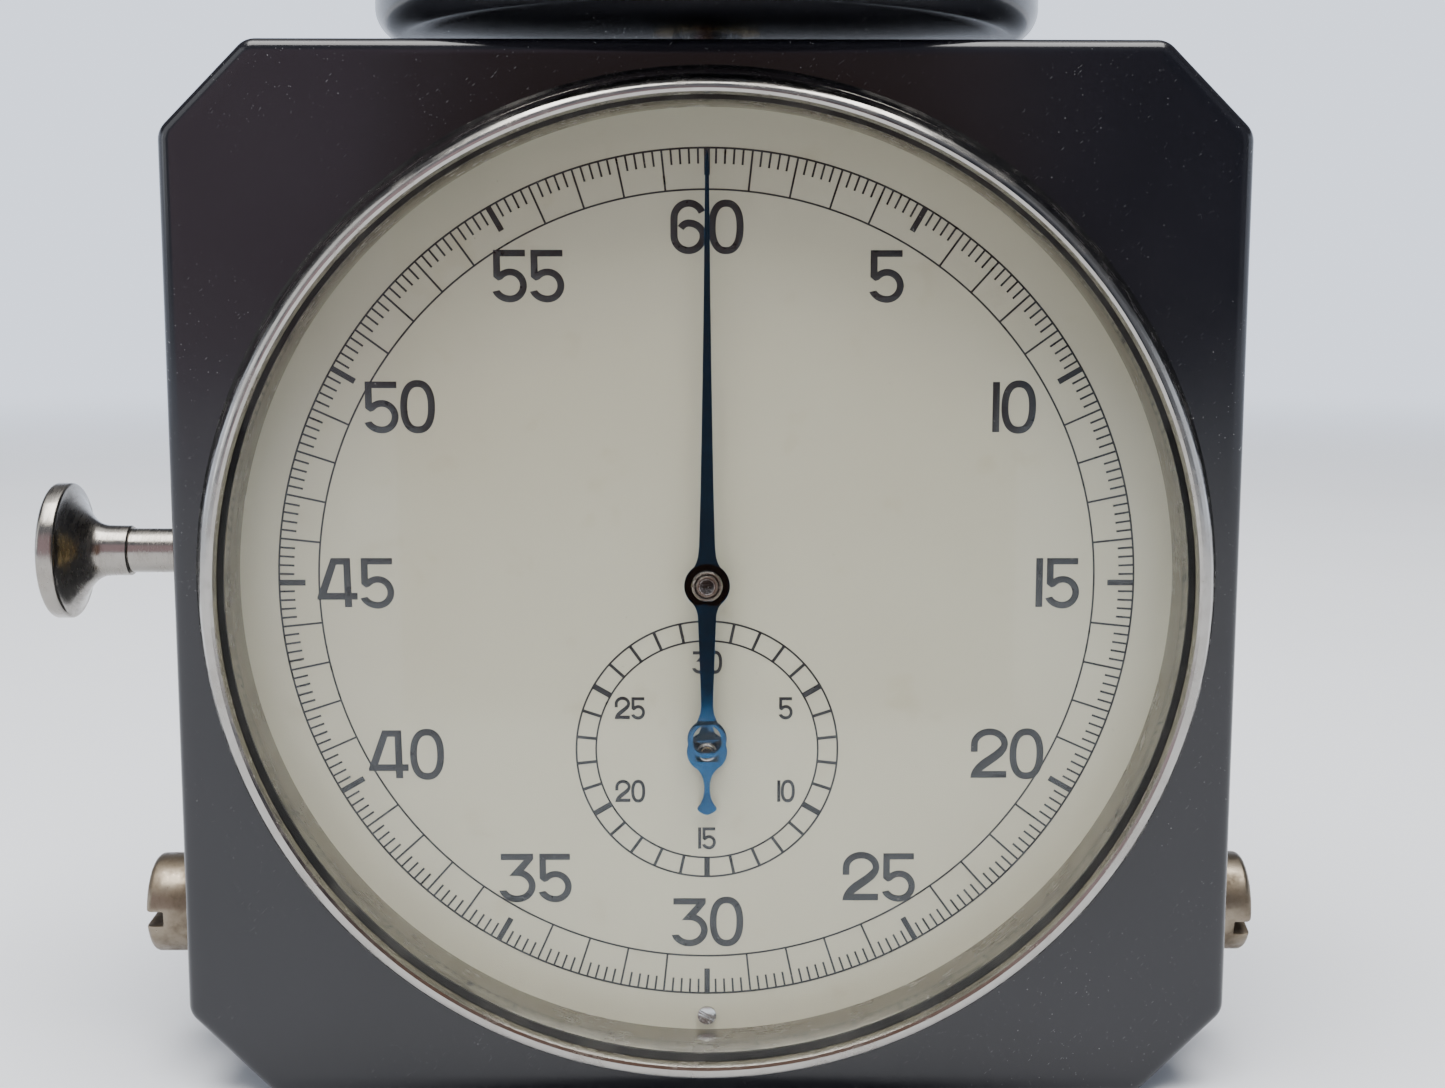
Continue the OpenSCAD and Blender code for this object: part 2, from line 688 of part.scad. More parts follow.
module reset_collar() {
    color([0.5, 0.5, 0.52]) translate([collar_x, 0, reset_z]) rotate([0, 90, 0]) difference() {
        cylinder(h = collar_t, r = 4.4);
        translate([0, 0, -1]) cylinder(h = collar_t + 2, r = reset_r + snug);
    }
}

module reset_bushing() {
    color([0.75, 0.66, 0.42]) translate([-side_x, 0, reset_z]) rotate([0, 90, 0]) difference() {
        union() {
            cylinder(h = wall + eps, r = 4.4);
            translate([0, 0, wall]) cylinder(h = collar_x + side_x - wall, r = 6);
        }
        translate([0, 0, -1]) cylinder(h = 12, r = reset_r + running);
    }
}

module reset_spring() {
    color([0.6, 0.6, 0.62]) translate([collar_x + collar_t + 0.4, 0, reset_z]) rotate([0, 90, 0])
        coil(3.5, 0.35, 7, guide_x - collar_x - collar_t - 0.8);
}

module stem_guides() {
    color([0.75, 0.66, 0.42]) {
        difference() {
            translate([guide_x, plate_y, reset_z - 5]) cube([guide_t, 4.4 - plate_y, 10]);
            translate([guide_x - 1, 0, reset_z]) rotate([0, 90, 0]) cylinder(h = guide_t + 2, r = reset_r + running);
        }
        difference() {
            translate([-5, back_y, bracket_z]) cube([10, 4.4 - back_y, bracket_t]);
            translate([0, 0, bracket_z - 1]) cylinder(h = bracket_t + 2, r = stem_r + running);
        }
    }
}

module main_plate() {
    color([0.8, 0.68, 0.42]) difference() {
        union() {
            disc(seconds_at, plate_front_y, plate_step_y - plate_front_y + eps, dial_r - 0.1);
            disc(seconds_at, plate_step_y, plate_y - plate_step_y, plate_r);
        }
        disc(seconds_at, plate_front_y - 1, 6, 1.6);
        disc(minute_at, plate_front_y - 1, 6, 1.4);
        for (p = [third_at, inter_at, escape_at, balance_at]) disc(p, plate_y - 2.2, 3, 1.2);
        disc(centre_at, plate_y - 2.2, 3, 1.4);
        disc(barrel_at, plate_y - 2.2, 3, barrel_arbor_r + running);
        disc([0, mid_z - 46.9], plate_front_y - 1, 3, 0.5 + snug);
    }
}

module pillars() {
    color([0.8, 0.68, 0.42]) for (p = pillar_spots) difference() {
        disc(p, plate_y, bridge_y - plate_y, pillar_r);
        disc(p, bridge_y - 3.2, 4, 0.8 + snug);
    }
}

module train_bridge() {
    color([0.82, 0.7, 0.45]) difference() {
        slab([0, 0], bridge_y, bridge_t) web(
            [[seconds_at, 6.5], [minute_at, 6.2], [inter_at, 6], [third_at, 5.2], [centre_at, 5], [escape_at, 4.2],
                [hammer_at, 5.4], [pillar_spots[2], 4.5], [pillar_spots[3], 4.8], [pillar_spots[4], 4.6]],
            [[0, 1, 10], [0, 2, 9], [1, 2, 9.4], [0, 3, 8.6], [3, 4, 8], [0, 5, 6.6], [2, 6, 8.4], [2, 7, 7.6], [1, 8, 8.2],
                [3, 9, 7]]);
        disc(seconds_at, bridge_y - 1, 4, 1.6);
        disc(minute_at, bridge_y - 1, 4, 1.4);
        for (p = [third_at, inter_at, escape_at]) disc(p, bridge_y - 1, 4, 1.2);
        disc(centre_at, bridge_y - 1, 4, 1.4);
        for (i = [2:4]) disc(pillar_spots[i], bridge_y - 1, 4, 0.8 + snug);
    }
}

module barrel_bridge() {
    color([0.82, 0.7, 0.45]) difference() {
        slab([0, 0], bridge_y, bridge_t) web(
            [[barrel_at, 7], [crown_at, 5.6], [pillar_spots[0], 4.6], [pillar_spots[5], 4.8], [click_pad, 5.2]],
            [[0, 1, 9], [0, 2, 10], [0, 3, 10.4], [1, 2, 8.6], [0, 4, 8], [3, 4, 5]]);
        disc(barrel_at, bridge_y - 1, 4, barrel_arbor_r + running);
        for (i = [0, 5]) disc(pillar_spots[i], bridge_y - 1, 4, 0.8 + snug);
        slab([0, 0], bridge_y - 1, 4) web([[third_at, 5.5], [centre_at, 5.5]], [[0, 1, 9]]);
    }
}

module balance_cock() {
    stud = balance_at + polar(7.6, 200);
    color([0.82, 0.7, 0.45]) difference() {
        union() {
            slab([0, 0], bridge_y, bridge_t) link(pillar_spots[1], balance_at, 4);
            disc(stud, bridge_y - 1.4, 1.5, 0.7);
        }
        disc(balance_at, bridge_y - 1, 4, 1.2);
        disc(pillar_spots[1], bridge_y - 1, 4, 0.8 + snug);
    }
}

// Jewel bearings in the main plate and the bridges
module jewels() {
    color([0.7, 0.1, 0.25]) {
        for (p = [third_at, inter_at, escape_at, balance_at])
            for (y = [plate_y - 2.15, bridge_y + 0.1]) ring(p, y, 1.8, 1.15, thin_arbor_r + running);
        for (y = [plate_y - 2.15, bridge_y + 0.1]) ring(centre_at, y, 1.8, 1.35, 0.7 + running);
        for (y = [plate_front_y + 0.6, bridge_y + 0.1]) {
            ring(seconds_at, y, 1.8, 1.55, second_arbor_r + running);
            ring(minute_at, y, 1.8, 1.35, minute_arbor_r + running);
        }
    }
}

module reset_hammer() {
    tail = [-24.1, reset_z];
    color([0.6, 0.6, 0.63]) difference() {
        slab([0, 0], back_y + 3, 2) union() {
            link(hammer_at, tail, 1.1);
            link(hammer_at, seconds_at + [-12, -4], 1.6);
            link(seconds_at + [-12, -4], seconds_at + [-8, 3.5], 0.8);
            link(hammer_at, minute_at + [-1, 8], 1.2);
            translate(hammer_at) circle(r = 2.6);
        }
        disc(hammer_at, back_y, 9, 1.2 + running);
    }
}

module escape_wheel() {
    phase = mesh_phase(seconds_n, 0, escape_leaves, heading(seconds_at, escape_at));
    teeth = 15;
    color([0.8, 0.68, 0.4]) union() {
        leaf_arbor(escape_at, thin_arbor_r, plate_y - 2, back_y - 0.3, escape_leaves, mod_seconds, phase, plate_y + 8.2, 1.6);
        slab(escape_at, plate_y + 5.8, 0.6) difference() {
            polygon([for (i = [0:teeth - 1]) for (k = [0:2])
                polar([4, 5, 4][k], 360 / teeth * (i + [0, 0.35, 0.4][k]))]);
            spokes(1.4, 3.3, 4, 0.6);
            circle(r = 0.4);
        }
    }
}

module pallet_fork() {
    along = heading(escape_at, pallet_at);
    color([0.6, 0.6, 0.63]) difference() {
        slab(pallet_at, plate_y + 6, 0.6) rotate(along) union() {
            circle(r = 1.2);
            translate([0, -0.35]) square([4.7, 0.7]);
            translate([4.4, -0.9]) square([1.5, 0.5]);
            translate([4.4, 0.4]) square([1.5, 0.5]);
            translate([4.3, -0.9]) square([0.5, 1.8]);
            rotate(180) link([0, 0], [0.2, 3.4], 0.45);
            rotate(180) link([0, 0], [0.2, -3.4], 0.45);
        }
        disc(pallet_at, plate_y + 5, 3, 0.5 + running);
    }
}

module balance_wheel() {
    color([0.8, 0.68, 0.4]) slab(balance_at, plate_y + 7.4, 1) union() {
        difference() {
            circle(r = 10);
            spokes(1.8, 8.8, 2, 1.2);
            circle(r = thin_arbor_r + snug);
        }
    }
}

module balance_staff() {
    color([0.65, 0.65, 0.67]) union() {
        disc(balance_at, plate_y - 2, back_y - 0.3 - plate_y + 2, thin_arbor_r);
        disc(balance_at, plate_y + 5.5, 0.4, 1.6);
        disc(balance_at + polar(1.15, heading(balance_at, pallet_at)), plate_y + 5.7, 1.1, 0.25);
        disc(balance_at, plate_y + 8.5, 0.8, 1.1);
    }
}

module hairspring() {
    color([0.3, 0.4, 0.6]) slab(balance_at, plate_y + 8.7, 0.45) rotate(200) polygon(spiral(1.4, 6.75, 6, 0.12, 96));
}

case_body();
back_cover();
cover_screws();
bezel_ring();
crystal();
crystal_gasket();
rehaut_ring();
dial();
dial_screw();
case_clamps();
movement_screws();
side_screw_left();
side_screw_right();
side_washers();
stem_bushing();
stem_sleeve();
knob_stem();
start_knob();
start_spring();
winding_pinion();
crown_wheel();
fixed_studs();
ratchet_wheel();
click();
click_spring();
barrel_drum();
barrel_cover();
mainspring();
barrel_arbor();
centre_wheel();
third_wheel();
seconds_arbor();
seconds_wheel();
seconds_heart();
intermediate_wheel();
minute_wheel();
minute_heart();
second_hand();
second_pipe();
minute_hand();
minute_pipe();
reset_button();
reset_stem();
reset_collar();
reset_bushing();
reset_spring();
stem_guides();
main_plate();
pillars();
train_bridge();
barrel_bridge();
balance_cock();
jewels();
reset_hammer();
escape_wheel();
pallet_fork();
balance_wheel();
balance_staff();
hairspring();
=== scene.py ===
"""Looks of the square-cased table stopwatch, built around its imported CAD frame.

Metres, in the CAD frame: the dial faces -Y, +Z is up, the case stands on the floor at z = 0.
"""

import math

import bmesh
import bpy
from mathutils import Matrix, Vector


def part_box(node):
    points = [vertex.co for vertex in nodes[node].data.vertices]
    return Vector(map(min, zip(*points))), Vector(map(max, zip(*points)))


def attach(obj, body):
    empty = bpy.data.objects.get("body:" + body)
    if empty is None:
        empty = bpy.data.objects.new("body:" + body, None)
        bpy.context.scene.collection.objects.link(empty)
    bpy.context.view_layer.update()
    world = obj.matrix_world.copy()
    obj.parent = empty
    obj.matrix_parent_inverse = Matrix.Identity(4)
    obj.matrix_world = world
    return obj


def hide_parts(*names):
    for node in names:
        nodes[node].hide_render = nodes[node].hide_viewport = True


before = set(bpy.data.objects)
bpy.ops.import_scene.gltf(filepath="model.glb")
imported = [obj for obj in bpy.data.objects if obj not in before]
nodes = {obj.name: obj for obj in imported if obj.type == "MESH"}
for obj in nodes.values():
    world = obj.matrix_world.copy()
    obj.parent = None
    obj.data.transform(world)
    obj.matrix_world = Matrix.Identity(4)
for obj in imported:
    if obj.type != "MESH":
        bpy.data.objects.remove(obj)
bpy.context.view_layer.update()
record_slots = {n: o.material_slots[0].material.name for n, o in nodes.items()}

MM = 0.001
TURN = 2 * math.pi


def middle(node):
    """Centre of a CAD node's box."""
    low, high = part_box(node)
    return (low + high) / 2


# Places that the CAD gives
CENTRE = middle("dial")
DIAL_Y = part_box("dial")[0].y
SUB_CENTRE = middle("minute_pipe")
CASE_LOW, CASE_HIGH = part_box("case_body")
COVER_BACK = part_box("back_cover")[1].y


# ---------------------------------------------------------------- meshes


def add_piece(name, mesh, body, slot, stands_for=()):
    """Puts a finished mesh in the scene as a piece that moves with a CAD body."""
    piece = bpy.data.objects.new(name, mesh)
    bpy.context.scene.collection.objects.link(piece)
    mesh.materials.append(LOOKS[slot])
    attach(piece, body)
    if stands_for:
        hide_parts(*stands_for)
    return piece


def finished(name, bm, sharp=35):
    """Mesh from bm with outward normals, smooth except at edges over sharp degrees."""
    bmesh.ops.recalc_face_normals(bm, faces=bm.faces)
    mesh = bpy.data.meshes.new(name)
    points = [v.co.copy() for v in bm.verts]
    bm.verts.index_update()
    mesh.from_pydata(points, [], [[v.index for v in f.verts] for f in bm.faces])
    bm.free()
    mesh.shade_smooth()
    mesh.set_sharp_from_angle(angle=math.radians(sharp))
    return mesh


def turning(place, axis):
    """Matrix that stands a shape's own +Z along axis at place."""
    return Matrix.Translation(place) @ Vector(axis).to_track_quat("Z", "Y").to_matrix().to_4x4()


def turned_mesh(name, profile, place, axis, steps=240):
    """Mesh of a closed profile of (radius, height) in mm, turned about axis through place."""
    bm = bmesh.new()
    rings = []
    for radius, height in profile:
        if radius < 1e-6:
            rings.append([bm.verts.new((0, 0, height * MM))] * steps)
            continue
        turns = [TURN * i / steps for i in range(steps)]
        points = [(radius * MM * math.cos(a), radius * MM * math.sin(a), height * MM) for a in turns]
        rings.append([bm.verts.new(p) for p in points])
    for a, b in zip(rings, rings[1:] + rings[:1]):
        for i in range(steps):
            corners = [a[i], a[(i + 1) % steps], b[(i + 1) % steps], b[i]]
            face = [v for k, v in enumerate(corners) if v not in corners[:k]]
            if len(face) > 2:
                bm.faces.new(face)
    bmesh.ops.transform(bm, matrix=turning(place, axis), verts=bm.verts)
    return finished(name, bm)


def arc(cx, cy, rx, ry, start, end, steps=12):
    """Points on an ellipse from start to end degrees."""
    angles = [math.radians(start + (end - start) * i / steps) for i in range(steps + 1)]
    return [(cx + rx * math.cos(a), cy + ry * math.sin(a)) for a in angles]


def cut_mesh(name, outlines, place, thickness, edge, resolution=2, grow=0.0):
    """Flat sheet cut to closed outlines in mm, X and Z about place, its front at place.y.

    The edges are rounded by edge, the shape grows by grow, and an outline inside another is a hole.
    """
    curve = bpy.data.curves.new(name, "CURVE")
    curve.dimensions = "2D"
    curve.fill_mode = "BOTH"
    curve.extrude = (thickness / 2 - edge) * MM
    curve.bevel_depth = edge * MM
    curve.bevel_resolution = resolution
    curve.offset = (grow - edge) * MM
    for outline in outlines:
        spline = curve.splines.new("POLY")
        spline.points.add(len(outline) - 1)
        for point, (x, z) in zip(spline.points, outline):
            point.co = (x * MM, z * MM, 0, 1)
        spline.use_cyclic_u = True
    holder = bpy.data.objects.new(name + "_outline", curve)
    bpy.context.scene.collection.objects.link(holder)
    bpy.context.view_layer.update()
    drawn = bpy.data.meshes.new_from_object(holder.evaluated_get(bpy.context.evaluated_depsgraph_get()))
    bpy.data.objects.remove(holder)
    bm = bmesh.new()
    bm.from_mesh(drawn)
    bpy.data.meshes.remove(drawn)
    bmesh.ops.remove_doubles(bm, verts=bm.verts, dist=1e-7)
    middle_plane = Matrix.Translation(place + Vector((0, thickness / 2 * MM, 0)))
    upright = Matrix.Rotation(math.radians(90), 4, "X")
    bmesh.ops.transform(bm, matrix=middle_plane @ upright, verts=bm.verts)
    return finished(name, bm)


def node_bmesh(node):
    """The CAD node's own shape, with the triangles of its flat faces joined."""
    bm = bmesh.new()
    bm.from_mesh(nodes[node].data)
    bmesh.ops.remove_doubles(bm, verts=bm.verts, dist=2e-6)
    bmesh.ops.dissolve_limit(bm, angle_limit=math.radians(0.6), verts=bm.verts, edges=bm.edges)
    return bm


def loft(loops, closed=False):
    """Faces between loops of points of equal count, capped at both ends unless closed."""
    bm = bmesh.new()
    rows = [[bm.verts.new(p) for p in loop] for loop in loops]
    for a, b in zip(rows, rows[1:] + (rows[:1] if closed else [])):
        for i in range(len(a)):
            j = (i + 1) % len(a)
            bm.faces.new((a[i], a[j], b[j], b[i]))
    if not closed:
        bm.faces.new(rows[0])
        bm.faces.new(rows[-1])
    bmesh.ops.recalc_face_normals(bm, faces=bm.faces)
    return bm


def rod(place, axis, radius, start, end, mouth=0.0, lip=0.0):
    """Plain round tool along axis from start to end mm past place, wider by mouth over its last lip mm."""
    profile = [(0, start), (radius, start)]
    if mouth:
        profile += [(radius, end - lip - mouth), (radius + mouth, end - lip)]
    profile += [(radius + mouth, end), (0, end)]
    return turned_mesh("rod", profile, place, axis, 64)


def block(place, size):
    """Plain box tool about place, size in mm."""
    half = Vector(size) / 2 * MM
    corners = [(-1, -1), (1, -1), (1, 1), (-1, 1)]
    ends = [[place + Vector((x * half.x, y * half.y, z * half.z)) for x, z in corners] for y in (-1, 1)]
    return finished("block", loft(ends))


def combined(bm, tools, operation):
    """bm with the tool meshes joined to it or cut from it."""
    made = []
    for source in [finished("base", bm), *tools]:
        made.append(bpy.data.objects.new("work", source))
        bpy.context.scene.collection.objects.link(made[-1])
    for tool in made[1:]:
        change = made[0].modifiers.new("change", "BOOLEAN")
        change.operation = operation
        change.solver = "EXACT"
        change.object = tool
    bpy.context.view_layer.update()
    result = bpy.data.meshes.new_from_object(made[0].evaluated_get(bpy.context.evaluated_depsgraph_get()))
    for holder in made:
        bpy.data.objects.remove(holder)
    bm = bmesh.new()
    bm.from_mesh(result)
    return bm


def rounded(bm, offset, segments):
    """bm with every edge of over 25 degrees rounded."""
    edges = [e for e in bm.edges if len(e.link_faces) == 2 and e.calc_face_angle(0) > math.radians(25)]
    sizes = {"offset": offset * MM, "segments": segments, "profile": 0.5}
    bmesh.ops.bevel(bm, geom=edges, affect="EDGES", clamp_overlap=False, **sizes)
    return bm


# ---------------------------------------------------------------- materials


# Marks are small solids in space: more are made than are wanted, as a face only grazes some of them
CUT_SHARE = 1.6


class Shader:
    """A Principled material and short calls that wire procedural detail into it."""

    def __init__(self, name, **values):
        self.material = bpy.data.materials.new(name)
        self.material.use_nodes = True
        self.tree = self.material.node_tree
        self.surface = self.tree.nodes["Principled BSDF"]
        self.place = self.node("ShaderNodeTexCoord").outputs["Object"]
        for key, value in values.items():
            self.surface.inputs[key.replace("_", " ")].default_value = value

    def node(self, kind, **inputs):
        made = self.tree.nodes.new(kind)
        for key, value in inputs.items():
            self.feed(made.inputs[key.replace("_", " ")], value)
        return made

    def feed(self, socket, value):
        if isinstance(value, bpy.types.NodeSocket):
            self.tree.links.new(value, socket)
        else:
            socket.default_value = value

    def stretched(self, scale, turn=(0, 0, 0)):
        """Object coordinates turned and then scaled by a vector, for grain that runs one way."""
        sizes = [1 / value for value in scale]
        made = self.node("ShaderNodeMapping", Vector=self.place, Scale=sizes, Rotation=turn)
        made.vector_type = "TEXTURE"
        return made.outputs["Vector"]

    def noise(self, scale, detail=3.0, roughness=0.5, place=None):
        place = place or self.place
        made = self.node("ShaderNodeTexNoise", Vector=place, Scale=scale, Detail=detail, Roughness=roughness)
        return made.outputs["Fac"]

    def cells(self, place, output):
        """Distance to the nearest cell's point, or that cell's own Color."""
        return self.node("ShaderNodeTexVoronoi", Vector=place, Scale=1.0).outputs[output]

    def span(self, value, low, high, to_low=0.0, to_high=1.0):
        """value from low..high mapped to to_low..to_high, clamped."""
        made = self.node("ShaderNodeMapRange", Value=value)
        for key, number in zip(("From Min", "From Max", "To Min", "To Max"), (low, high, to_low, to_high)):
            made.inputs[key].default_value = number
        return made.outputs["Result"]

    def math(self, operation, a, b=0.0):
        made = self.tree.nodes.new("ShaderNodeMath")
        made.operation = operation
        self.feed(made.inputs[0], a)
        self.feed(made.inputs[1], b)
        return made.outputs[0]

    def mix(self, factor, a, b):
        """Colour from a to b by factor."""
        made = self.tree.nodes.new("ShaderNodeMix")
        made.data_type = "RGBA"
        self.feed(made.inputs["Factor"], factor)
        for socket, value in ((made.inputs[6], a), (made.inputs[7], b)):
            self.feed(socket, value if isinstance(value, bpy.types.NodeSocket) else (*value, 1))
        return made.outputs[2]

    def bump(self, height, strength, distance):
        made = self.node("ShaderNodeBump", Height=height)
        made.inputs["Strength"].default_value = strength
        made.inputs["Distance"].default_value = distance
        self.feed(self.surface.inputs["Normal"], made.outputs["Normal"])

    def set(self, **sockets):
        for key, value in sockets.items():
            self.feed(self.surface.inputs[key.replace("_", " ")], value)
        return self.material

    def chance(self, cells, share, channel=0):
        """Brightness from 0 to 1 of the share of cells that hold a mark."""
        drawn = self.node("ShaderNodeSeparateColor", Color=cells).outputs[channel]
        return self.span(drawn, share, share * 0.2)

    def specks(self, size, density):
        """Mask of round specks, size mm across, so many to a square mm."""
        cell = 2 * size
        place = self.stretched((1000 / cell,) * 3)
        near = self.span(self.cells(place, "Distance"), 0.25, 0.12)
        share = CUT_SHARE * density * cell**3 / size
        return self.math("MULTIPLY", near, self.chance(self.cells(place, "Color"), share))

    def dashes(self, length, width, turn, density):
        """Mask of fine scratches of a length and width in mm, lying at turn radians in the XZ plane."""
        cells = [length / 0.4, length / 0.4, width / 0.4]
        place = self.stretched([1000 / c for c in cells], (0, turn, 0))
        near = self.span(self.cells(place, "Distance"), 0.2, 0.13)
        share = CUT_SHARE * density * cells[0] * cells[1] * cells[2] / length
        return self.math("MULTIPLY", near, self.chance(self.cells(place, "Color"), share, 1))


def enamel(name, dark, light, gloss, dust):
    """Black stoved enamel: faint orange peel, cloudy gloss, dust specks, lint and hairline scratches."""
    s = Shader(name)
    cloud = s.noise(38, 4)
    patch = s.span(s.noise(70, 3), 0.4, 0.62)
    marks = s.math("MAXIMUM", s.specks(0.085, 0.55 * dust), s.specks(0.15, 0.06 * dust))
    for length, turn in ((0.7, 0.6), (1.0, -0.9), (0.5, 1.5), (0.8, 2.4)):
        marks = s.math("MAXIMUM", marks, s.dashes(length * 0.7, 0.06, turn, 0.03 * dust))
    marks = s.math("MULTIPLY", marks, patch)
    hairs = s.math("MULTIPLY", s.dashes(3, 0.03, 0.9, 0.006), 0.3)
    colour = s.mix(s.span(cloud, 0.3, 0.7), dark, light)
    colour = s.mix(s.math("MULTIPLY", s.math("MAXIMUM", marks, hairs), 0.75), colour, (0.34, 0.335, 0.33))
    haze = s.span(s.noise(60, 5, 0.6), 0.3, 0.7, gloss, gloss + 0.08)
    s.bump(s.math("ADD", s.math("MULTIPLY", s.noise(700, 2), 0.25), marks), 0.2, 0.02 * MM)
    return s.set(Base_Color=colour, Roughness=s.math("ADD", haze, s.math("MULTIPLY", marks, 0.4)))


def metal(name, colour, stain, gloss, grain, stained, pits):
    """Plated or turned metal: fine grain one way, soft stains, small pits and scratches."""
    s = Shader(name, Metallic=1.0)
    lines = s.noise(1, 2, 0.6, s.stretched(grain))
    cloud = s.noise(240, 5, 0.62)
    marks = s.specks(0.13, pits)
    shade = s.math("MULTIPLY", s.span(cloud, 0.42, 0.68), stained)
    colour = s.mix(s.math("MAXIMUM", shade, s.math("MULTIPLY", marks, 0.7)), colour, stain)
    rough = s.math("ADD", s.span(lines, 0.3, 0.7, gloss, gloss + 0.12), s.math("MULTIPLY", shade, 0.5))
    s.bump(s.math("SUBTRACT", s.math("MULTIPLY", lines, 0.5), marks), 0.22, 0.02 * MM)
    return s.set(Base_Color=colour, Roughness=rough)


def dial_lacquer():
    """Cream dial lacquer: slow yellowing, foxing dots and a few rubbed hairlines."""
    s = Shader("dial_enamel", Coat_Weight=0.2, Coat_Roughness=0.15)
    warm = s.mix(s.span(s.noise(26, 4), 0.35, 0.68), DIAL_CREAM, DIAL_WARM)
    spots = s.specks(0.2, 0.012)
    small = s.specks(0.11, 0.05)
    stain = s.math("MULTIPLY", s.span(s.noise(210, 3), 0.63, 0.74), 0.28)
    hairs = s.math("MULTIPLY", s.dashes(3, 0.04, 0.4, 0.01), 0.25)
    colour = s.mix(stain, warm, (0.36, 0.31, 0.2))
    colour = s.mix(hairs, colour, (0.5, 0.5, 0.48))
    colour = s.mix(s.math("MULTIPLY", s.math("MAXIMUM", spots, small), 0.55), colour, (0.16, 0.15, 0.12))
    s.bump(s.math("ADD", s.math("MULTIPLY", s.noise(1500, 2), 0.3), spots), 0.12, 0.02 * MM)
    return s.set(Base_Color=colour, Roughness=s.span(s.noise(70, 4), 0.3, 0.7, 0.34, 0.46))


def dial_ink():
    """Printed dial ink: blue-black, glossy, with tiny chips where the print has worn."""
    s = Shader("dial_ink")
    chips = s.math("MULTIPLY", s.span(s.noise(2600, 3, 0.7), 0.66, 0.74), s.span(s.noise(300, 2), 0.45, 0.6))
    colour = s.mix(s.span(s.noise(500, 3), 0.3, 0.7), (0.007, 0.010, 0.014), (0.014, 0.017, 0.021))
    colour = s.mix(s.math("MULTIPLY", chips, 0.8), colour, (0.3, 0.3, 0.28))
    s.bump(s.noise(1900, 3), 0.3, 0.015 * MM)
    return s.set(Base_Color=colour, Roughness=s.span(s.noise(800, 3), 0.3, 0.7, 0.26, 0.42))


def blued_steel():
    """Heat-blued polished steel, a little violet in places, with dust on it."""
    s = Shader("blued_steel", Metallic=1.0)
    tone = s.mix(s.span(s.noise(130, 3), 0.35, 0.65), (0.008, 0.052, 0.125), (0.011, 0.066, 0.15))
    tone = s.mix(s.math("MULTIPLY", s.span(s.noise(480, 3), 0.6, 0.72), 0.3), tone, (0.04, 0.035, 0.09))
    dust = s.specks(0.1, 0.25)
    colour = s.mix(s.math("MULTIPLY", dust, 0.5), tone, (0.35, 0.38, 0.42))
    s.bump(s.noise(1, 2, 0.6, s.stretched((2600, 2600, 160))), 0.12, 0.01 * MM)
    return s.set(Base_Color=colour, Roughness=s.span(s.noise(300, 4), 0.3, 0.7, 0.05, 0.13))


def watch_glass():
    """Clear mineral glass with a faint green body."""
    s = Shader("crystal", Transmission_Weight=1.0, IOR=1.24)
    colour = s.mix(s.span(s.noise(9, 2), 0.3, 0.7), (0.985, 0.995, 0.99), (0.975, 0.992, 0.985))
    scratch = s.math("MAXIMUM", s.dashes(4, 0.03, 0.9, 0.004), s.dashes(3, 0.03, -0.4, 0.004))
    s.bump(scratch, 0.1, 0.004 * MM)
    return s.set(Base_Color=colour, Roughness=s.math("MULTIPLY", scratch, 0.05))


def rubber():
    """Aged black rubber with a dry bloom."""
    s = Shader("rubber")
    bloom = s.span(s.noise(260, 5, 0.6), 0.45, 0.75)
    s.bump(s.noise(1400, 4), 0.4, 0.05 * MM)
    colour = s.mix(bloom, (0.012, 0.012, 0.011), (0.05, 0.047, 0.042))
    return s.set(Base_Color=colour, Roughness=s.span(bloom, 0, 1, 0.5, 0.8))


def ruby():
    """Synthetic ruby bearing jewel, deep red and polished, with faint growth bands."""
    s = Shader("ruby", IOR=1.77, Coat_Weight=0.5)
    bands = s.noise(1, 2, 0.5, s.stretched((900, 9000, 900)))
    s.bump(s.noise(2400, 2), 0.1, 0.01 * MM)
    colour = s.mix(bands, (0.3, 0.006, 0.03), (0.5, 0.02, 0.07))
    return s.set(Base_Color=colour, Roughness=s.span(bands, 0, 1, 0.08, 0.16))


DIAL_CREAM = (0.475, 0.46, 0.35)
DIAL_WARM = (0.445, 0.42, 0.315)

# name: (colour, stain colour, roughness, grain cells to a metre on X, Y and Z, strength of the stain,
#        pits to a square mm)
METALS = {
    "nickel": ((0.36, 0.345, 0.32), (0.17, 0.145, 0.12), 0.10, (500, 5000, 500), 0.30, 0.15),
    "worn_button": ((0.29, 0.272, 0.245), (0.17, 0.14, 0.11), 0.13, (5000, 500, 500), 0.3, 0.3),
    "worn_nickel": ((0.22, 0.185, 0.14), (0.09, 0.065, 0.042), 0.26, (2600, 900, 2600), 0.75, 0.5),
    "steel": ((0.56, 0.565, 0.57), (0.30, 0.28, 0.25), 0.16, (3200, 300, 3200), 0.2, 0.15),
    # Near-black steel for the arbor ends: painted shade of the pipes' bores, not the steel's own colour
    "bore_shade_steel": ((0.045, 0.042, 0.042), (0.02, 0.018, 0.017), 0.16, (3200, 300, 3200), 0.4, 0.15),
    "spring_steel": ((0.40, 0.41, 0.43), (0.16, 0.13, 0.12), 0.2, (900, 4000, 900), 0.25, 0.15),
    "gilt_brass": ((0.78, 0.58, 0.27), (0.42, 0.27, 0.10), 0.2, (2400, 2400, 300), 0.3, 0.15),
}

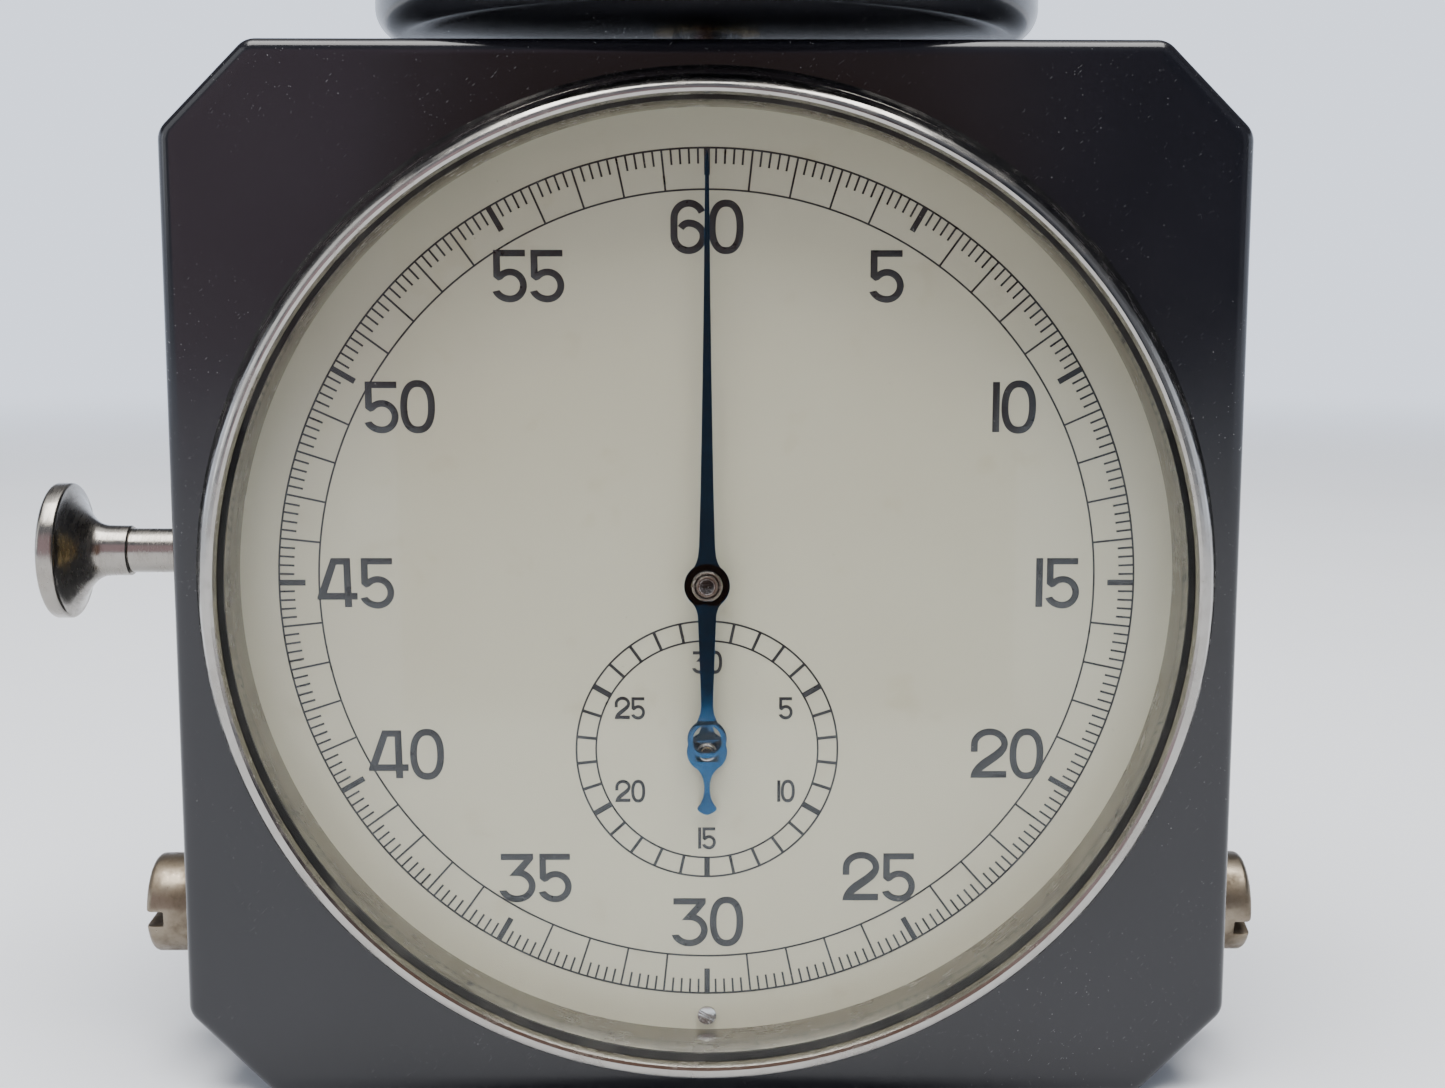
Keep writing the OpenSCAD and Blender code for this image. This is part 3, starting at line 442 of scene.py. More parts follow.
LOOKS = {
    "black_enamel": enamel("black_enamel", (0.0055, 0.0055, 0.0075), (0.0085, 0.0080, 0.0105), 0.12, 1.0),
    "black_knob": enamel("black_knob", (0.010, 0.0105, 0.0125), (0.014, 0.0145, 0.0165), 0.14, 0.4),
    "crystal": watch_glass(),
    "rubber": rubber(),
    "dial_enamel": dial_lacquer(),
    "dial_ink": dial_ink(),
    "blued_steel": blued_steel(),
    "ruby": ruby(),
}
LOOKS.update({name: metal(name, *values) for name, values in METALS.items()})


# ---------------------------------------------------------------- case


# Millimetres, as in the CAD
CHAMFER = 9.0
CORNER_R = 2.4
EDGE_R = 1.5
EDGE_SPREAD = 1.6
EDGE_STEPS = 12
COVER_EDGE_R = 1.2
JOINT_R = 0.2
WALL = 3.0
POST_AT = 45.5
BOSS_AT = 56 / math.sqrt(2)
OPENING_R = 50.05
POST_R, POST_BORE_R = 4.5, 1.52
BOSS_R, BOSS_BORE_R = 3.0, 1.02
SIDE_BLOCK, SIDE_BLOCK_X, SIDE_BORE_R = (8, 10, 10), 48.1, 2.52
STEM_BORE_R = 6.02
RESET_BORE_R = 4.42
ROOT = 0.1
COVER_LIP = (3.2, 4.7)
NOTCH_R = 4.8
HEAD_FLARE, HEAD_DEPTH = 1.58, 0.39
PAST = 1
LEFT_SCREW_TURN = 24.0
FORWARD, BACKWARD = (0, -1, 0), (0, 1, 0)
CORNERS = [(sx, sz) for sx in (-1, 1) for sz in (-1, 1)]
HALF = (CASE_HIGH.x - CASE_LOW.x) / 2 / MM


def octagon(inset, y, per_side=12, per_corner=6):
    """Loop of points round the case's outline, inset by so many mm at depth y."""
    radius = max(CORNER_R - inset, 0.25)
    centres = []
    for k in range(8):
        sides = [HALF if (k + i) % 2 == 0 else (2 * HALF - CHAMFER) / math.sqrt(2) for i in (0, 1)]
        reach = [side - inset - radius for side in sides]
        a, b = (math.radians(45 * (k + i)) for i in (0, 1))
        det = math.sin(b - a)
        centres.append(Vector((
            (reach[0] * math.sin(b) - reach[1] * math.sin(a)) / det,
            (reach[1] * math.cos(a) - reach[0] * math.cos(b)) / det,
        )))
    flat = []
    for k, centre in enumerate(centres):
        turn = arc(centre.x, centre.y, radius, radius, 45 * k, 45 * (k + 1), per_corner - 1)
        following = centres[(k + 1) % 8] + Vector(arc(0, 0, radius, radius, 45 * (k + 1), 45 * (k + 1), 1)[0])
        last = Vector(turn[-1])
        flat += turn + [tuple(last.lerp(following, i / (per_side + 1))) for i in range(1, per_side + 1)]
    return [Vector((x * MM, y, CENTRE.z + z * MM)) for x, z in flat]


def round_loop(radius, y):
    """Circle of points about the dial's axis that pairs with an octagon loop."""
    loop = []
    for p in octagon(0, y):
        way = math.atan2(p.z - CENTRE.z, p.x)
        loop.append(Vector((radius * MM * math.cos(way), y, CENTRE.z + radius * MM * math.sin(way))))
    return loop


def edge_loops(y, forward, radius, steps, wide=1.0):
    """Loops that round the outline over into the face at depth y, starting on the sides.

    A wide above 1 draws the rounding out over the face by that much.
    """
    turn = arc(radius, 0, radius, radius, 180, 90, steps)
    insets = [x * (1 + (wide - 1) * (x / radius) ** 2) for x, rise in turn]
    return [octagon(inset, y + forward * (rise - radius) * MM) for inset, (x, rise) in zip(insets, turn)]


def at_corners(reach):
    """Places reach mm to each side of the dial's axis and as far above and below it, at y = 0."""
    return [Vector((sx * reach * MM, 0, CENTRE.z + sz * reach * MM)) for sx, sz in CORNERS]


def smooth_flats(piece):
    """Keeps the large flat faces flat in shading beside their rounded edges."""
    weighted = piece.modifiers.new("weighted", "WEIGHTED_NORMAL")
    weighted.keep_sharp = True
    weighted.weight = 100


def part_flats(mesh):
    """Shades the faces square to Y apart from the rounded ones beside them."""
    bm = bmesh.new()
    bm.from_mesh(mesh)
    for edge in bm.edges:
        level = [abs(face.normal.y) > 0.99999 for face in edge.link_faces]
        if any(level) and not all(level):
            edge.smooth = False
    bm.to_mesh(mesh)
    bm.free()


def build_case():
    """The case shell: rounded front edge, round opening, screw posts and bored walls."""
    front, back = CASE_LOW.y, CASE_HIGH.y
    inside = front + WALL * MM
    loops = edge_loops(back, 1, JOINT_R, 2)[::-1] + edge_loops(front, -1, EDGE_R, EDGE_STEPS, EDGE_SPREAD)
    loops += [round_loop(OPENING_R, front), round_loop(OPENING_R, inside)]
    loops += [octagon(WALL, inside), octagon(WALL, back)]
    bm = loft(loops, closed=True)
    side_y, side_z = middle("side_washers").y, middle("side_washers").z
    root, end = front / MM + WALL - ROOT, back / MM
    posts = [rod(place, BACKWARD, POST_R, root, end) for place in at_corners(POST_AT)]
    posts += [rod(place, BACKWARD, BOSS_R, root, -18) for place in at_corners(BOSS_AT)]
    posts += [block(Vector((sx * SIDE_BLOCK_X * MM, side_y, side_z)), SIDE_BLOCK) for sx in (-1, 1)]
    bores = [rod(place, BACKWARD, POST_BORE_R, end - 8, end + PAST) for place in at_corners(POST_AT)]
    bores += [rod(place, BACKWARD, BOSS_BORE_R, -20.6, -17) for place in at_corners(BOSS_AT)]
    bores += [rod(Vector((0, side_y, side_z)), (sx, 0, 0), SIDE_BORE_R, 43, 56) for sx in (-1, 1)]
    bores += [rod(Vector((0, 0, 0)), (0, 0, 1), STEM_BORE_R, 106, 111)]
    bores += [rod(middle("reset_bushing"), (-1, 0, 0), RESET_BORE_R, -6, 6)]
    bm = combined(combined(bm, posts, "UNION"), bores, "DIFFERENCE")
    smooth_flats(add_piece("case_shell", finished("case_shell", bm), "case", "black_enamel", ["case_body"]))


def build_cover():
    """The back cover: rounded rim, inner lip and four countersunk holes."""
    front, back = CASE_HIGH.y, COVER_BACK
    bm = loft(edge_loops(front, -1, JOINT_R, 2)[::-1] + edge_loops(back, 1, COVER_EDGE_R, 6))
    lip_y, lip_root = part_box("back_cover")[0].y, front + ROOT * MM
    outer, inner = COVER_LIP
    lip_loops = [(outer, lip_y), (outer, lip_root), (inner, lip_root), (inner, lip_y)]
    lip = loft([octagon(inset, y) for inset, y in lip_loops], closed=True)
    start, end = front / MM - PAST, back / MM + PAST
    flare = (HEAD_FLARE, HEAD_DEPTH + PAST)
    corners = at_corners(POST_AT)
    holes = [rod(place, BACKWARD, POST_BORE_R, start, end, *flare) for place in corners]
    notches = [rod(place, BACKWARD, NOTCH_R, lip_y / MM - PAST, front / MM) for place in corners]
    lip = combined(lip, notches, "DIFFERENCE")
    bm = combined(combined(bm, [finished("lip", lip)], "UNION"), holes, "DIFFERENCE")
    plate = finished("cover_plate", bm)
    part_flats(plate)
    smooth_flats(add_piece("cover_plate", plate, "case", "black_enamel", ["back_cover"]))


def build_eased(name, node, body, offset, turned=0.0):
    """A CAD part with all its sharp edges slightly broken, turned by so many degrees about its X axis."""
    bm = rounded(node_bmesh(node), offset, 2)
    turn = Matrix.Rotation(math.radians(turned), 3, "X")
    bmesh.ops.rotate(bm, cent=middle(node), matrix=turn, verts=bm.verts)
    add_piece(name, finished(name, bm), body, record_slots[node], [node])


# ---------------------------------------------------------------- bezel, glass and inner ring


def build_front():
    """Polished bezel, flat glass and the mirror ring inside it, turned about the dial's axis."""
    place = Vector((0, CASE_LOW.y, CENTRE.z))
    bezel = (
        [(50.1, 0), (52.34, 0), (52.3, 0.14), (51.98, 0.46), (51.86, 0.9), (51.3, 2.68), (51.08, 2.8)]
        + [(51.08, 3.05), (51.22, 3.1)]
        + arc(45.4, 2.8, 5.83, 5.83, 3, 33.4, 12)
        + [(49.76, 6.25), (49.45, 6.3), (49.15, 6.15), (48.95, 5.7), (48.95, 5.2), (49.65, 5.2), (49.65, 3.1)]
        + [(50.1, 3.1)]
    )
    mesh = turned_mesh("bezel_polished", bezel, place, FORWARD, 360)
    add_piece("bezel_polished", mesh, "case", "nickel", ["bezel_ring"])
    glass = [(0, 3.3), (49.4, 3.3), (49.6, 3.5), (49.6, 4.95), (49.35, 5.2), (0, 5.2)]
    mesh = turned_mesh("watch_glass", glass, place, FORWARD)
    pane = add_piece("watch_glass", mesh, "case", "crystal", ["crystal"])
    pane.visible_shadow = False
    ring = [(49.35, 3), (50, 3), (50, -3), (51.8, -3), (51.8, -4.55), (49.45, -4.55), (49.45, -3), (48.5, -3)]
    ring += [(48.5, 1.5)]
    mesh = turned_mesh("mirror_ring", ring, place, FORWARD, 360)
    add_piece("mirror_ring", mesh, "case", "nickel", ["rehaut_ring"])


# ---------------------------------------------------------------- dial printing

# Of a figure one unit high
STROKE = 0.127
FIGURE_GAP = 0.04
# Millimetres
INK_RISE = 0.045
INK_SUNK = 0.01
SHORT_TICK = 1.58
CIRCLE_LINES = (0.2, 0.19)
SECONDS_TRACK = (44.46, 40.32)
SECONDS_LINES = (0.21, 0.60, 2.72)
SECONDS_NUMERAL_R = 36.55
SECONDS_NUMERAL_H = 5.45
MINUTES_TRACK = (13.74, 11.67)
MINUTES_LINES = (0.32, 0.6, MINUTES_TRACK[0] - MINUTES_TRACK[1])
MINUTES_NUMERALS = {
    "5": (8.25, 4.5), "10": (8.35, -4.45), "15": (0, -9.55),
    "20": (-8.1, -4.45), "25": (-8.1, 4.5), "30": (0, 9.4),
}
MINUTES_NUMERAL_H = 2.42
MINUTES_NUMERAL_SQUEEZE = 0.92


def ribbon(points, width, closed=False):
    """Outlines of a line of even width along points: one outline, or two if it is closed."""
    count = len(points)
    sides = ([], [])
    for i, p in enumerate(points):
        here = Vector(p)
        before = Vector(points[i - 1]) if closed or i else here * 2 - Vector(points[1])
        after = Vector(points[(i + 1) % count]) if closed or i < count - 1 else here * 2 - before
        a, b = (here - before).normalized(), (after - here).normalized()
        normal = Vector((-a.y - b.y, a.x + b.x)).normalized()
        reach = width / 2 / max(0.35, normal.dot(Vector((-a.y, a.x))))
        sides[0].append(tuple(here + normal * reach))
        sides[1].append(tuple(here - normal * reach))
    return [sides[0], sides[1]] if closed else [sides[0] + sides[1][::-1]]


def oval(cx, cy, rx, ry, power=2.35, steps=56):
    """Points on a superellipse, for the figure nought."""
    points = []
    for i in range(steps):
        c, s = math.cos(TURN * i / steps), math.sin(TURN * i / steps)
        points.append((
            cx + rx * math.copysign(abs(c) ** (2 / power), c),
            cy + ry * math.copysign(abs(s) ** (2 / power), s),
        ))
    return points


def figure(digit):
    """(outlines, width) of a digit one unit high, an even-stroke engineer's figure."""
    half = STROKE / 2
    if digit == "0":
        return ribbon(oval(0.325, 0.5, 0.325 - half, 0.5 - half), STROKE, True), 0.65
    if digit == "1":
        return [[(0, 0.03), (STROKE, 0.03), (STROKE, 0.97), (0, 0.97)]], STROKE
    if digit == "2":
        line = [(0, 0.545)] + arc(0.355, 0.69, 0.355, 0.31, 180, -4, 26)
        line += [(0.685, 0.58), (0.61, 0.47), (0.49, 0.37), (0.36, 0.275), (0.26, 0.2), (0.205, 0.157)]
        line += [(0.69, 0.157), (0.69, 0.03), (0, 0.03), (0.008, 0.1), (0.04, 0.18), (0.1, 0.27)]
        line += [(0.2, 0.365), (0.33, 0.455), (0.44, 0.53), (0.52, 0.6)]
        line += arc(0.355, 0.69, 0.23, 0.185, -8, 180, 26)
        return [line + [(0.125, 0.545)]], 0.71
    if digit == "3":
        bowl = arc(0.356, 0.33, 0.36, 0.33, 68, -162, 26) + arc(0.356, 0.33, 0.233, 0.203, -152, 90, 26)
        top = [(0.05, 0.97), (0.675, 0.97), (0.675, 0.865)]
        return [top + bowl + [(0.215, 0.533), (0.50, 0.85), (0.05, 0.85)]], 0.72
    if digit == "4":
        outer = [(0.27, 0.97), (0.63, 0.97), (0.645, 0.30), (0.76, 0.30), (0.76, 0.175), (0.65, 0.175)]
        outer += [(0.653, 0.03), (0.523, 0.03), (0.52, 0.175), (0, 0.175), (0, 0.225)]
        return [outer, [(0.365, 0.85), (0.175, 0.30), (0.516, 0.30), (0.507, 0.85)]], 0.76
    if digit == "5":
        bowl = arc(0.348, 0.312, 0.312, 0.312, 126, -90, 26) + arc(0.348, 0.312, 0.352, 0.312, -95, -158, 8)
        bowl += arc(0.348, 0.312, 0.225, 0.19, -152, -92, 8) + arc(0.348, 0.312, 0.188, 0.19, -86, 142, 26)
        top = [(0.04, 0.97), (0.63, 0.97), (0.63, 0.853), (0.163, 0.853)]
        return [top + bowl + [(0.128, 0.405), (0.04, 0.475)]], 0.66
    # The only figure left is the six
    curl = arc(0.335, 0.66, 0.272, 0.2765, 24, 180, 18) + arc(0.335, 0.335, 0.272, 0.2715, 180, 360, 24)
    curl += arc(0.335, 0.335, 0.272, 0.235, 0, 90, 14)[1:] + arc(0.335, 0.335, 0.185, 0.235, 90, 142, 6)[1:]
    return ribbon(curl, STROKE), 0.67


def numeral(text, at, height, squeeze=1.0):
    """Outlines in mm of a number centred at a place on the dial."""
    placed, x = [], 0.0
    for digit in text:
        outlines, width = figure(digit)
        placed += [[(x + px, pz - 0.5) for px, pz in line] for line in outlines]
        x += width + FIGURE_GAP
    shift = (x - FIGURE_GAP) / 2
    wide = height * squeeze
    return [[(at[0] + (px - shift) * wide, at[1] + pz * height) for px, pz in line] for line in placed]


def on_circle(radius, share):
    """Place at a share of a turn clockwise from the top."""
    return radius * math.sin(TURN * share), radius * math.cos(TURN * share)


def tick(outer, inner, width, share):
    """Outline of a radial bar at a share of a turn clockwise from the top."""
    along = Vector(on_circle(1, share))
    across = Vector((along.y, -along.x)) * width / 2
    ends = ((inner, -1), (inner, 1), (outer, 1), (outer, -1))
    return [tuple(along * r + across * side) for r, side in ends]


def bars_mesh(name, bars, place):
    """Mesh of raised printed bars with sloping sides, each bar an outline in mm about place."""
    bm = bmesh.new()
    for outline in bars:
        mid = sum((Vector(p) for p in outline), Vector((0, 0))) / len(outline)
        levels = []
        for rise, inset in ((-INK_SUNK, 0), (0.6 * INK_RISE, 0), (INK_RISE, 0.02)):
            level = []
            for p in outline:
                off = Vector(p) - mid
                p2 = mid + off * (1 - inset / max(off.length, inset))
                level.append(bm.verts.new(place + Vector((p2.x, -rise, p2.y)) * MM))
            levels.append(level)
        for low, high in zip(levels, levels[1:]):
            for i in range(len(low)):
                j = (i + 1) % len(low)
                bm.faces.new((low[i], low[j], high[j], high[i]))
        bm.faces.new(levels[0])
        bm.faces.new(levels[-1])
    return finished(name, bm, 20)


def ink_ring(name, radius, width, place):
    """A printed circle, raised by the thickness of the ink."""
    low, top = -INK_SUNK, INK_RISE
    inner, outer = radius - width / 2, radius + width / 2
    profile = [(inner, low), (outer, low), (outer, 0.6 * top)]
    profile += [(outer - 0.03, top), (inner + 0.03, top), (inner, 0.6 * top)]
    return add_piece(name, turned_mesh(name, profile, place, FORWARD, 360), "case", "dial_enamel")


def inked(piece):
    """Gives a printed piece the ink's look."""
    piece.material_slots[0].material = LOOKS["dial_ink"]


def print_scale(name, place, track, divisions, long_every, line_sizes):
    """A ring scale: two circles, fine radial lines and bold ones at the numbers.

    The track is the radius of each circle, and line_sizes are the fine and bold widths and the bold length.
    """
    outer, inner = track
    fine, bold, bold_reach = line_sizes
    bars = []
    for i in range(divisions):
        share = i / divisions
        if i % long_every[1] == 0:
            bars.append(tick(outer, outer - bold_reach, bold, share))
        elif i % long_every[0] == 0:
            bars.append(tick(outer, inner, fine, share))
        else:
            bars.append(tick(outer, outer - SHORT_TICK, fine, share))
    inked(add_piece(name + "_lines", bars_mesh(name + "_lines", bars, place), "case", "dial_enamel"))
    inked(ink_ring(name + "_outer_circle", outer, CIRCLE_LINES[0], place))
    inked(ink_ring(name + "_inner_circle", inner, CIRCLE_LINES[1], place))


def build_printing():
    """Seconds and minutes scales and their numbers, as raised ink on the dial."""
    face = Vector((CENTRE.x, DIAL_Y, CENTRE.z))
    sub_face = Vector((SUB_CENTRE.x, DIAL_Y, SUB_CENTRE.z))
    print_scale("seconds_scale", face, SECONDS_TRACK, 300, (5, 25), SECONDS_LINES)
    print_scale("minutes_scale", sub_face, MINUTES_TRACK, 30, (1, 5), MINUTES_LINES)
    rise = Vector((0, -INK_RISE * MM, 0))
    thick = INK_RISE + 0.03
    for step in range(1, 13):
        text = str(step * 5)
        lines = numeral(text, on_circle(SECONDS_NUMERAL_R, step / 12), SECONDS_NUMERAL_H)
        mesh = cut_mesh("seconds_" + text, lines, face + rise, thick, 0.03, 1, 0.02)
        inked(add_piece("seconds_" + text, mesh, "case", "dial_enamel"))
    for text, at in MINUTES_NUMERALS.items():
        lines = numeral(text, at, MINUTES_NUMERAL_H, MINUTES_NUMERAL_SQUEEZE)
        mesh = cut_mesh("minutes_" + text, lines, sub_face + rise, thick, 0.02, 1, 0.025)
        inked(add_piece("minutes_" + text, mesh, "case", "dial_enamel"))


# ---------------------------------------------------------------- hands


def mirrored(half):
    """Closed outline from its right-hand half, listed from top to bottom."""
    return half + [(-x, z) for x, z in reversed(half) if x > 1e-6]


def circle(cx, cz, r, steps=64):
    """Points all round a circle, the first not repeated."""
    return arc(cx, cz, r, r, 0, 360 * (steps - 1) / steps, steps - 1)


def build_hands():
    """Blued hands cut from sheet, with filleted shoulders, on turned nickel pipes."""
    hand_low, hand_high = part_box("second_hand")
    top = (hand_high.z - CENTRE.z) / MM
    ring_z, ring_r, boss_r = -16.1, 2.05, 2.36
    half = [(0, top), (0.12, top - 0.5), (0.2, top - 2), (0.33, 30), (0.48, 20), (0.66, 10), (0.82, 4.2)]
    half += [(0.93, 3.0), (1.12, 2.4)]
    half += arc(0, 0, boss_r, boss_r, 55, -52, 18)
    half += [(1.18, -2.28), (0.98, -2.9), (0.93, -3.6), (0.80, -7), (0.66, -11), (0.62, -12.6)]
    half += [(0.70, -13.4), (0.98, -14.1)]
    half += arc(0, ring_z, ring_r, ring_r, 58, -90, 22)
    place = Vector((CENTRE.x, hand_low.y + 0.15 * MM, CENTRE.z))
    outlines = [mirrored(half), circle(0, 0, 1.6), circle(0, ring_z, 1.45)]
    mesh = cut_mesh("seconds_hand", outlines, place, 0.35, 0.035)
    smooth_flats(add_piece("seconds_hand", mesh, "seconds", "blued_steel", ["second_hand"]))
    collar = [(1.6, -0.5), (2.2, -0.5), (2.3, -0.42), (2.3, 0), (1.6, 0)]
    mesh = turned_mesh("seconds_collar", collar, place, FORWARD, 96)
    add_piece("seconds_collar", mesh, "seconds", "blued_steel")

    low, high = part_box("minute_hand")
    up, down = (high.z - SUB_CENTRE.z) / MM, (low.z - SUB_CENTRE.z) / MM
    half = [(0, up), (0.12, up - 0.35), (0.2, up - 2), (0.42, 4), (0.5, 2.9), (0.72, 2.3)]
    half += arc(0, 0, 2.12, 2.12, 66, -60, 18)
    half += [(0.8, -2.12), (0.56, -2.5), (0.4, -2.95), (0.3, -3.5), (0.29, -4.2), (0.4, -4.95), (0.66, -5.55)]
    half += [(1.0, -6.0), (1.02, -6.18), (0.8, -6.45), (0.4, down + 0.12), (0, down)]
    place = Vector((0, low.y, SUB_CENTRE.z))
    mesh = cut_mesh("minutes_hand", [mirrored(half), circle(0, 0, 1.0)], place, 0.3, 0.03)
    smooth_flats(add_piece("minutes_hand", mesh, "minute", "blued_steel", ["minute_hand"]))


def build_pipes():
    """The hands' pipes: turned nickel with a bored, bevelled mouth, and the arbor's end in it, near-black as
    painted shade of the bore.
    """
    for node, body, bore in (("second_pipe", "seconds", 0.83), ("minute_pipe", "minute", 0.63)):
        low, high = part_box(node)
        outer, length = (high.x - low.x) / 2 / MM, (high.y - low.y) / MM
        step = bore + 0.42 * (outer - bore)
        profile = [(bore, 0), (outer, 0), (outer, length - 0.12), (outer - 0.1, length)]
        profile += [(outer - 0.22, length), (outer - 0.3, length - 0.1), (outer - 0.34, length - 0.32)]
        profile += [(step, length - 0.42)]
        profile += [(step, length - 0.14), (step - 0.06, length - 0.06), (bore + 0.05, length - 0.06)]
        profile += [(bore, length - 0.14)]
        place = Vector((0, high.y, middle(node).z))
        name = node + "_turned"
        add_piece(name, turned_mesh(name, profile, place, FORWARD, 96), body, "nickel", [node])
        tip = [(0, length + 0.22), (0.09, length + 0.2), (0.12, length + 0.15), (bore - 0.14, length + 0.13)]
        tip += [(bore - 0.05, length + 0.08), (bore + 0.02, length - 0.1), (bore + 0.02, length - 0.5)]
        tip += [(0, length - 0.5)]
        name = node.replace("pipe", "arbor_tip")
        arbor = add_piece(name, turned_mesh(name, tip, place, FORWARD, 72), body, "steel")
        # The arbor's end is painted near-black, standing in for the shade inside the pipe's mouth
        arbor.material_slots[0].material = LOOKS["bore_shade_steel"]


# ---------------------------------------------------------------- knob, button and screws


CROWN = 1.6524


def build_knob():
    """Palm knob: a smooth turned disc with a rolled lower edge and a slightly crowned top."""
    low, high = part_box("start_knob")
    r, h = (high.x - low.x) / 2 / MM, (high.z - low.z) / MM
    profile = [(2.52, 0), (r - 5.2, 0), (r - 4.9, 0.12), (r - 3, 0.12)]
    profile += arc(r - 3, 3.1, 3, 2.98, -88, 0, 14)
    profile += arc(r - 4, h - 5.6, 4, 4, 0, 80, 14)
    flat_r = r - 4.2
    profile += [(flat_r * i / 12, h - CROWN * (i / 12 * flat_r / r) ** 2) for i in range(12, -1, -1)]
    profile += [(0, 9.1), (2.52, 9.1)]
    mesh = turned_mesh("palm_knob", profile, Vector((0, 0, low.z)), (0, 0, 1), 300)
    add_piece("palm_knob", mesh, "knob", "black_knob", ["start_knob"])


def build_reset():
    """Trumpet-shaped reset button, turned, with a short straight neck."""
    low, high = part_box("reset_button")
    r = (high.z - low.z) / 2 / MM
    flare = [(2.92 + (r - 3.5) * (1 - i / 14) ** 2.3, 2.15 + 4.25 * i / 14) for i in range(15)]
    profile = [(0, 0.18), (r - 1.2, 0.12), (r - 0.55, 0)] + arc(r - 0.5, 0.5, 0.5, 0.5, -85, 0, 6)
    profile += arc(r - 0.4, 1.75, 0.4, 0.4, 0, 80, 5) + flare
    profile += [(2.9, 7.0), (2.88, 8.62), (2.74, 8.8), (1.62, 8.8), (1.62, 4), (0, 4)]
    place = Vector((low.x, 0, middle("reset_button").z))
    mesh = turned_mesh("reset_trumpet", profile, place, (1, 0, 0), 180)
    button = add_piece("reset_trumpet", mesh, "reset_slide", "nickel", ["reset_button"])
    button.material_slots[0].material = LOOKS["worn_button"]


def dress_nodes():
    """Gives every CAD node its slot's material, and the stem the worn look of its button."""
    for name, node in nodes.items():
        look = "worn_button" if name == "reset_stem" else record_slots[name]
        node.material_slots[0].material = LOOKS[look]


build_case()
build_cover()
dress_nodes()
build_front()
build_printing()
build_hands()
build_pipes()
build_knob()
build_reset()
build_eased("left_screw", "side_screw_left", "case", 0.16, LEFT_SCREW_TURN)
build_eased("right_screw", "side_screw_right", "case", 0.16)
build_eased("six_o_clock_screw", "dial_screw", "case", 0.05)


# ---------------------------------------------------------------- studio


def panel(name, centre, width, height, facing, material):
    """Flat stage card."""
    bm = bmesh.new()
    bmesh.ops.create_grid(bm, x_segments=1, y_segments=1, size=0.5)
    spread = Matrix.Diagonal((width, height, 1, 1))
    bmesh.ops.transform(bm, matrix=turning(centre, facing) @ spread, verts=bm.verts)
    mesh = bpy.data.meshes.new(name)
    bm.to_mesh(mesh)
    bm.free()
    card = bpy.data.objects.new(name, mesh)
    bpy.context.scene.collection.objects.link(card)
    mesh.materials.append(material)
    return card


# Glow colours and strengths, distances in metres, the lens in mm and angles in degrees
AIR = (0.77, 0.84, 0.98)
AIR_LEVEL = 1.75
ROOM_LEVEL = 0.16
FRONT_DIM = (0.26, 0.28, 0.33)
ZENITH_LEVEL = 2.0
FLOOR_NEAR, FLOOR_FAR = 0.55, 1.6
LENS = 46.93
CAMERA_AT = (0.00014, -0.21639, 0.08438)
CAMERA_ANGLES = (90 - 7.438, -0.056, -0.427)


def build_floor():
    """Pale paper floor that fades into the colour of the air, so that no horizon shows."""
    floor = panel("floor", (0, 0, 0), 60, 60, (0, 0, 1), bpy.data.materials.new("pale_paper"))
    material = floor.data.materials[0]
    material.use_nodes = True
    tree = material.node_tree
    paper = tree.nodes["Principled BSDF"]
    paper.inputs["Roughness"].default_value = 0.7
    place = tree.nodes.new("ShaderNodeTexCoord").outputs["Object"]
    fibre = tree.nodes.new("ShaderNodeTexNoise")
    fibre.inputs["Scale"].default_value = 14
    shade = tree.nodes.new("ShaderNodeMix")
    shade.data_type = "RGBA"
    shade.inputs[6].default_value = (0.80, 0.82, 0.86, 1)
    shade.inputs[7].default_value = (0.84, 0.86, 0.90, 1)
    tree.links.new(place, fibre.inputs["Vector"])
    tree.links.new(fibre.outputs["Fac"], shade.inputs["Factor"])
    tree.links.new(shade.outputs[2], paper.inputs["Base Color"])
    away = tree.nodes.new("ShaderNodeVectorMath")
    away.operation = "LENGTH"
    tree.links.new(place, away.inputs[0])
    fade = tree.nodes.new("ShaderNodeMapRange")
    fade.interpolation_type = "SMOOTHSTEP"
    fade.inputs["From Min"].default_value, fade.inputs["From Max"].default_value = FLOOR_NEAR, FLOOR_FAR
    tree.links.new(away.outputs["Value"], fade.inputs["Value"])
    glow = tree.nodes.new("ShaderNodeEmission")
    glow.inputs["Color"].default_value = (*AIR, 1)
    glow.inputs["Strength"].default_value = AIR_LEVEL
    blend = tree.nodes.new("ShaderNodeMixShader")
    tree.links.new(fade.outputs["Result"], blend.inputs[0])
    tree.links.new(paper.outputs[0], blend.inputs[1])
    tree.links.new(glow.outputs[0], blend.inputs[2])
    tree.links.new(blend.outputs[0], tree.nodes["Material Output"].inputs["Surface"])


def build_air():
    """Pale air round the horizon, a dimmer room above it and a bright ceiling."""
    world = bpy.data.worlds.new("studio_air")
    bpy.context.scene.world = world
    world.use_nodes = True
    tree = world.node_tree
    background = tree.nodes["Background"]
    place = tree.nodes.new("ShaderNodeTexCoord").outputs["Generated"]
    parts = tree.nodes.new("ShaderNodeSeparateXYZ")
    tree.links.new(place, parts.inputs[0])
    ramp = tree.nodes.new("ShaderNodeValToRGB")
    stops = (
        (0.0, AIR, AIR_LEVEL), (0.24, AIR, AIR_LEVEL), (0.40, (0.8, 0.85, 1.0), ROOM_LEVEL),
        (0.80, (0.85, 0.88, 1.0), ROOM_LEVEL), (0.95, (0.97, 0.98, 1.0), ZENITH_LEVEL),
    )
    while len(ramp.color_ramp.elements) < len(stops):
        ramp.color_ramp.elements.new(0.5)
    for element, (at, colour, level) in zip(ramp.color_ramp.elements, stops):
        element.position = at
        element.color = (*(c * level for c in colour), 1)
    tree.links.new(parts.outputs["Z"], ramp.inputs["Fac"])
    tree.links.new(ramp.outputs["Color"], background.inputs["Color"])


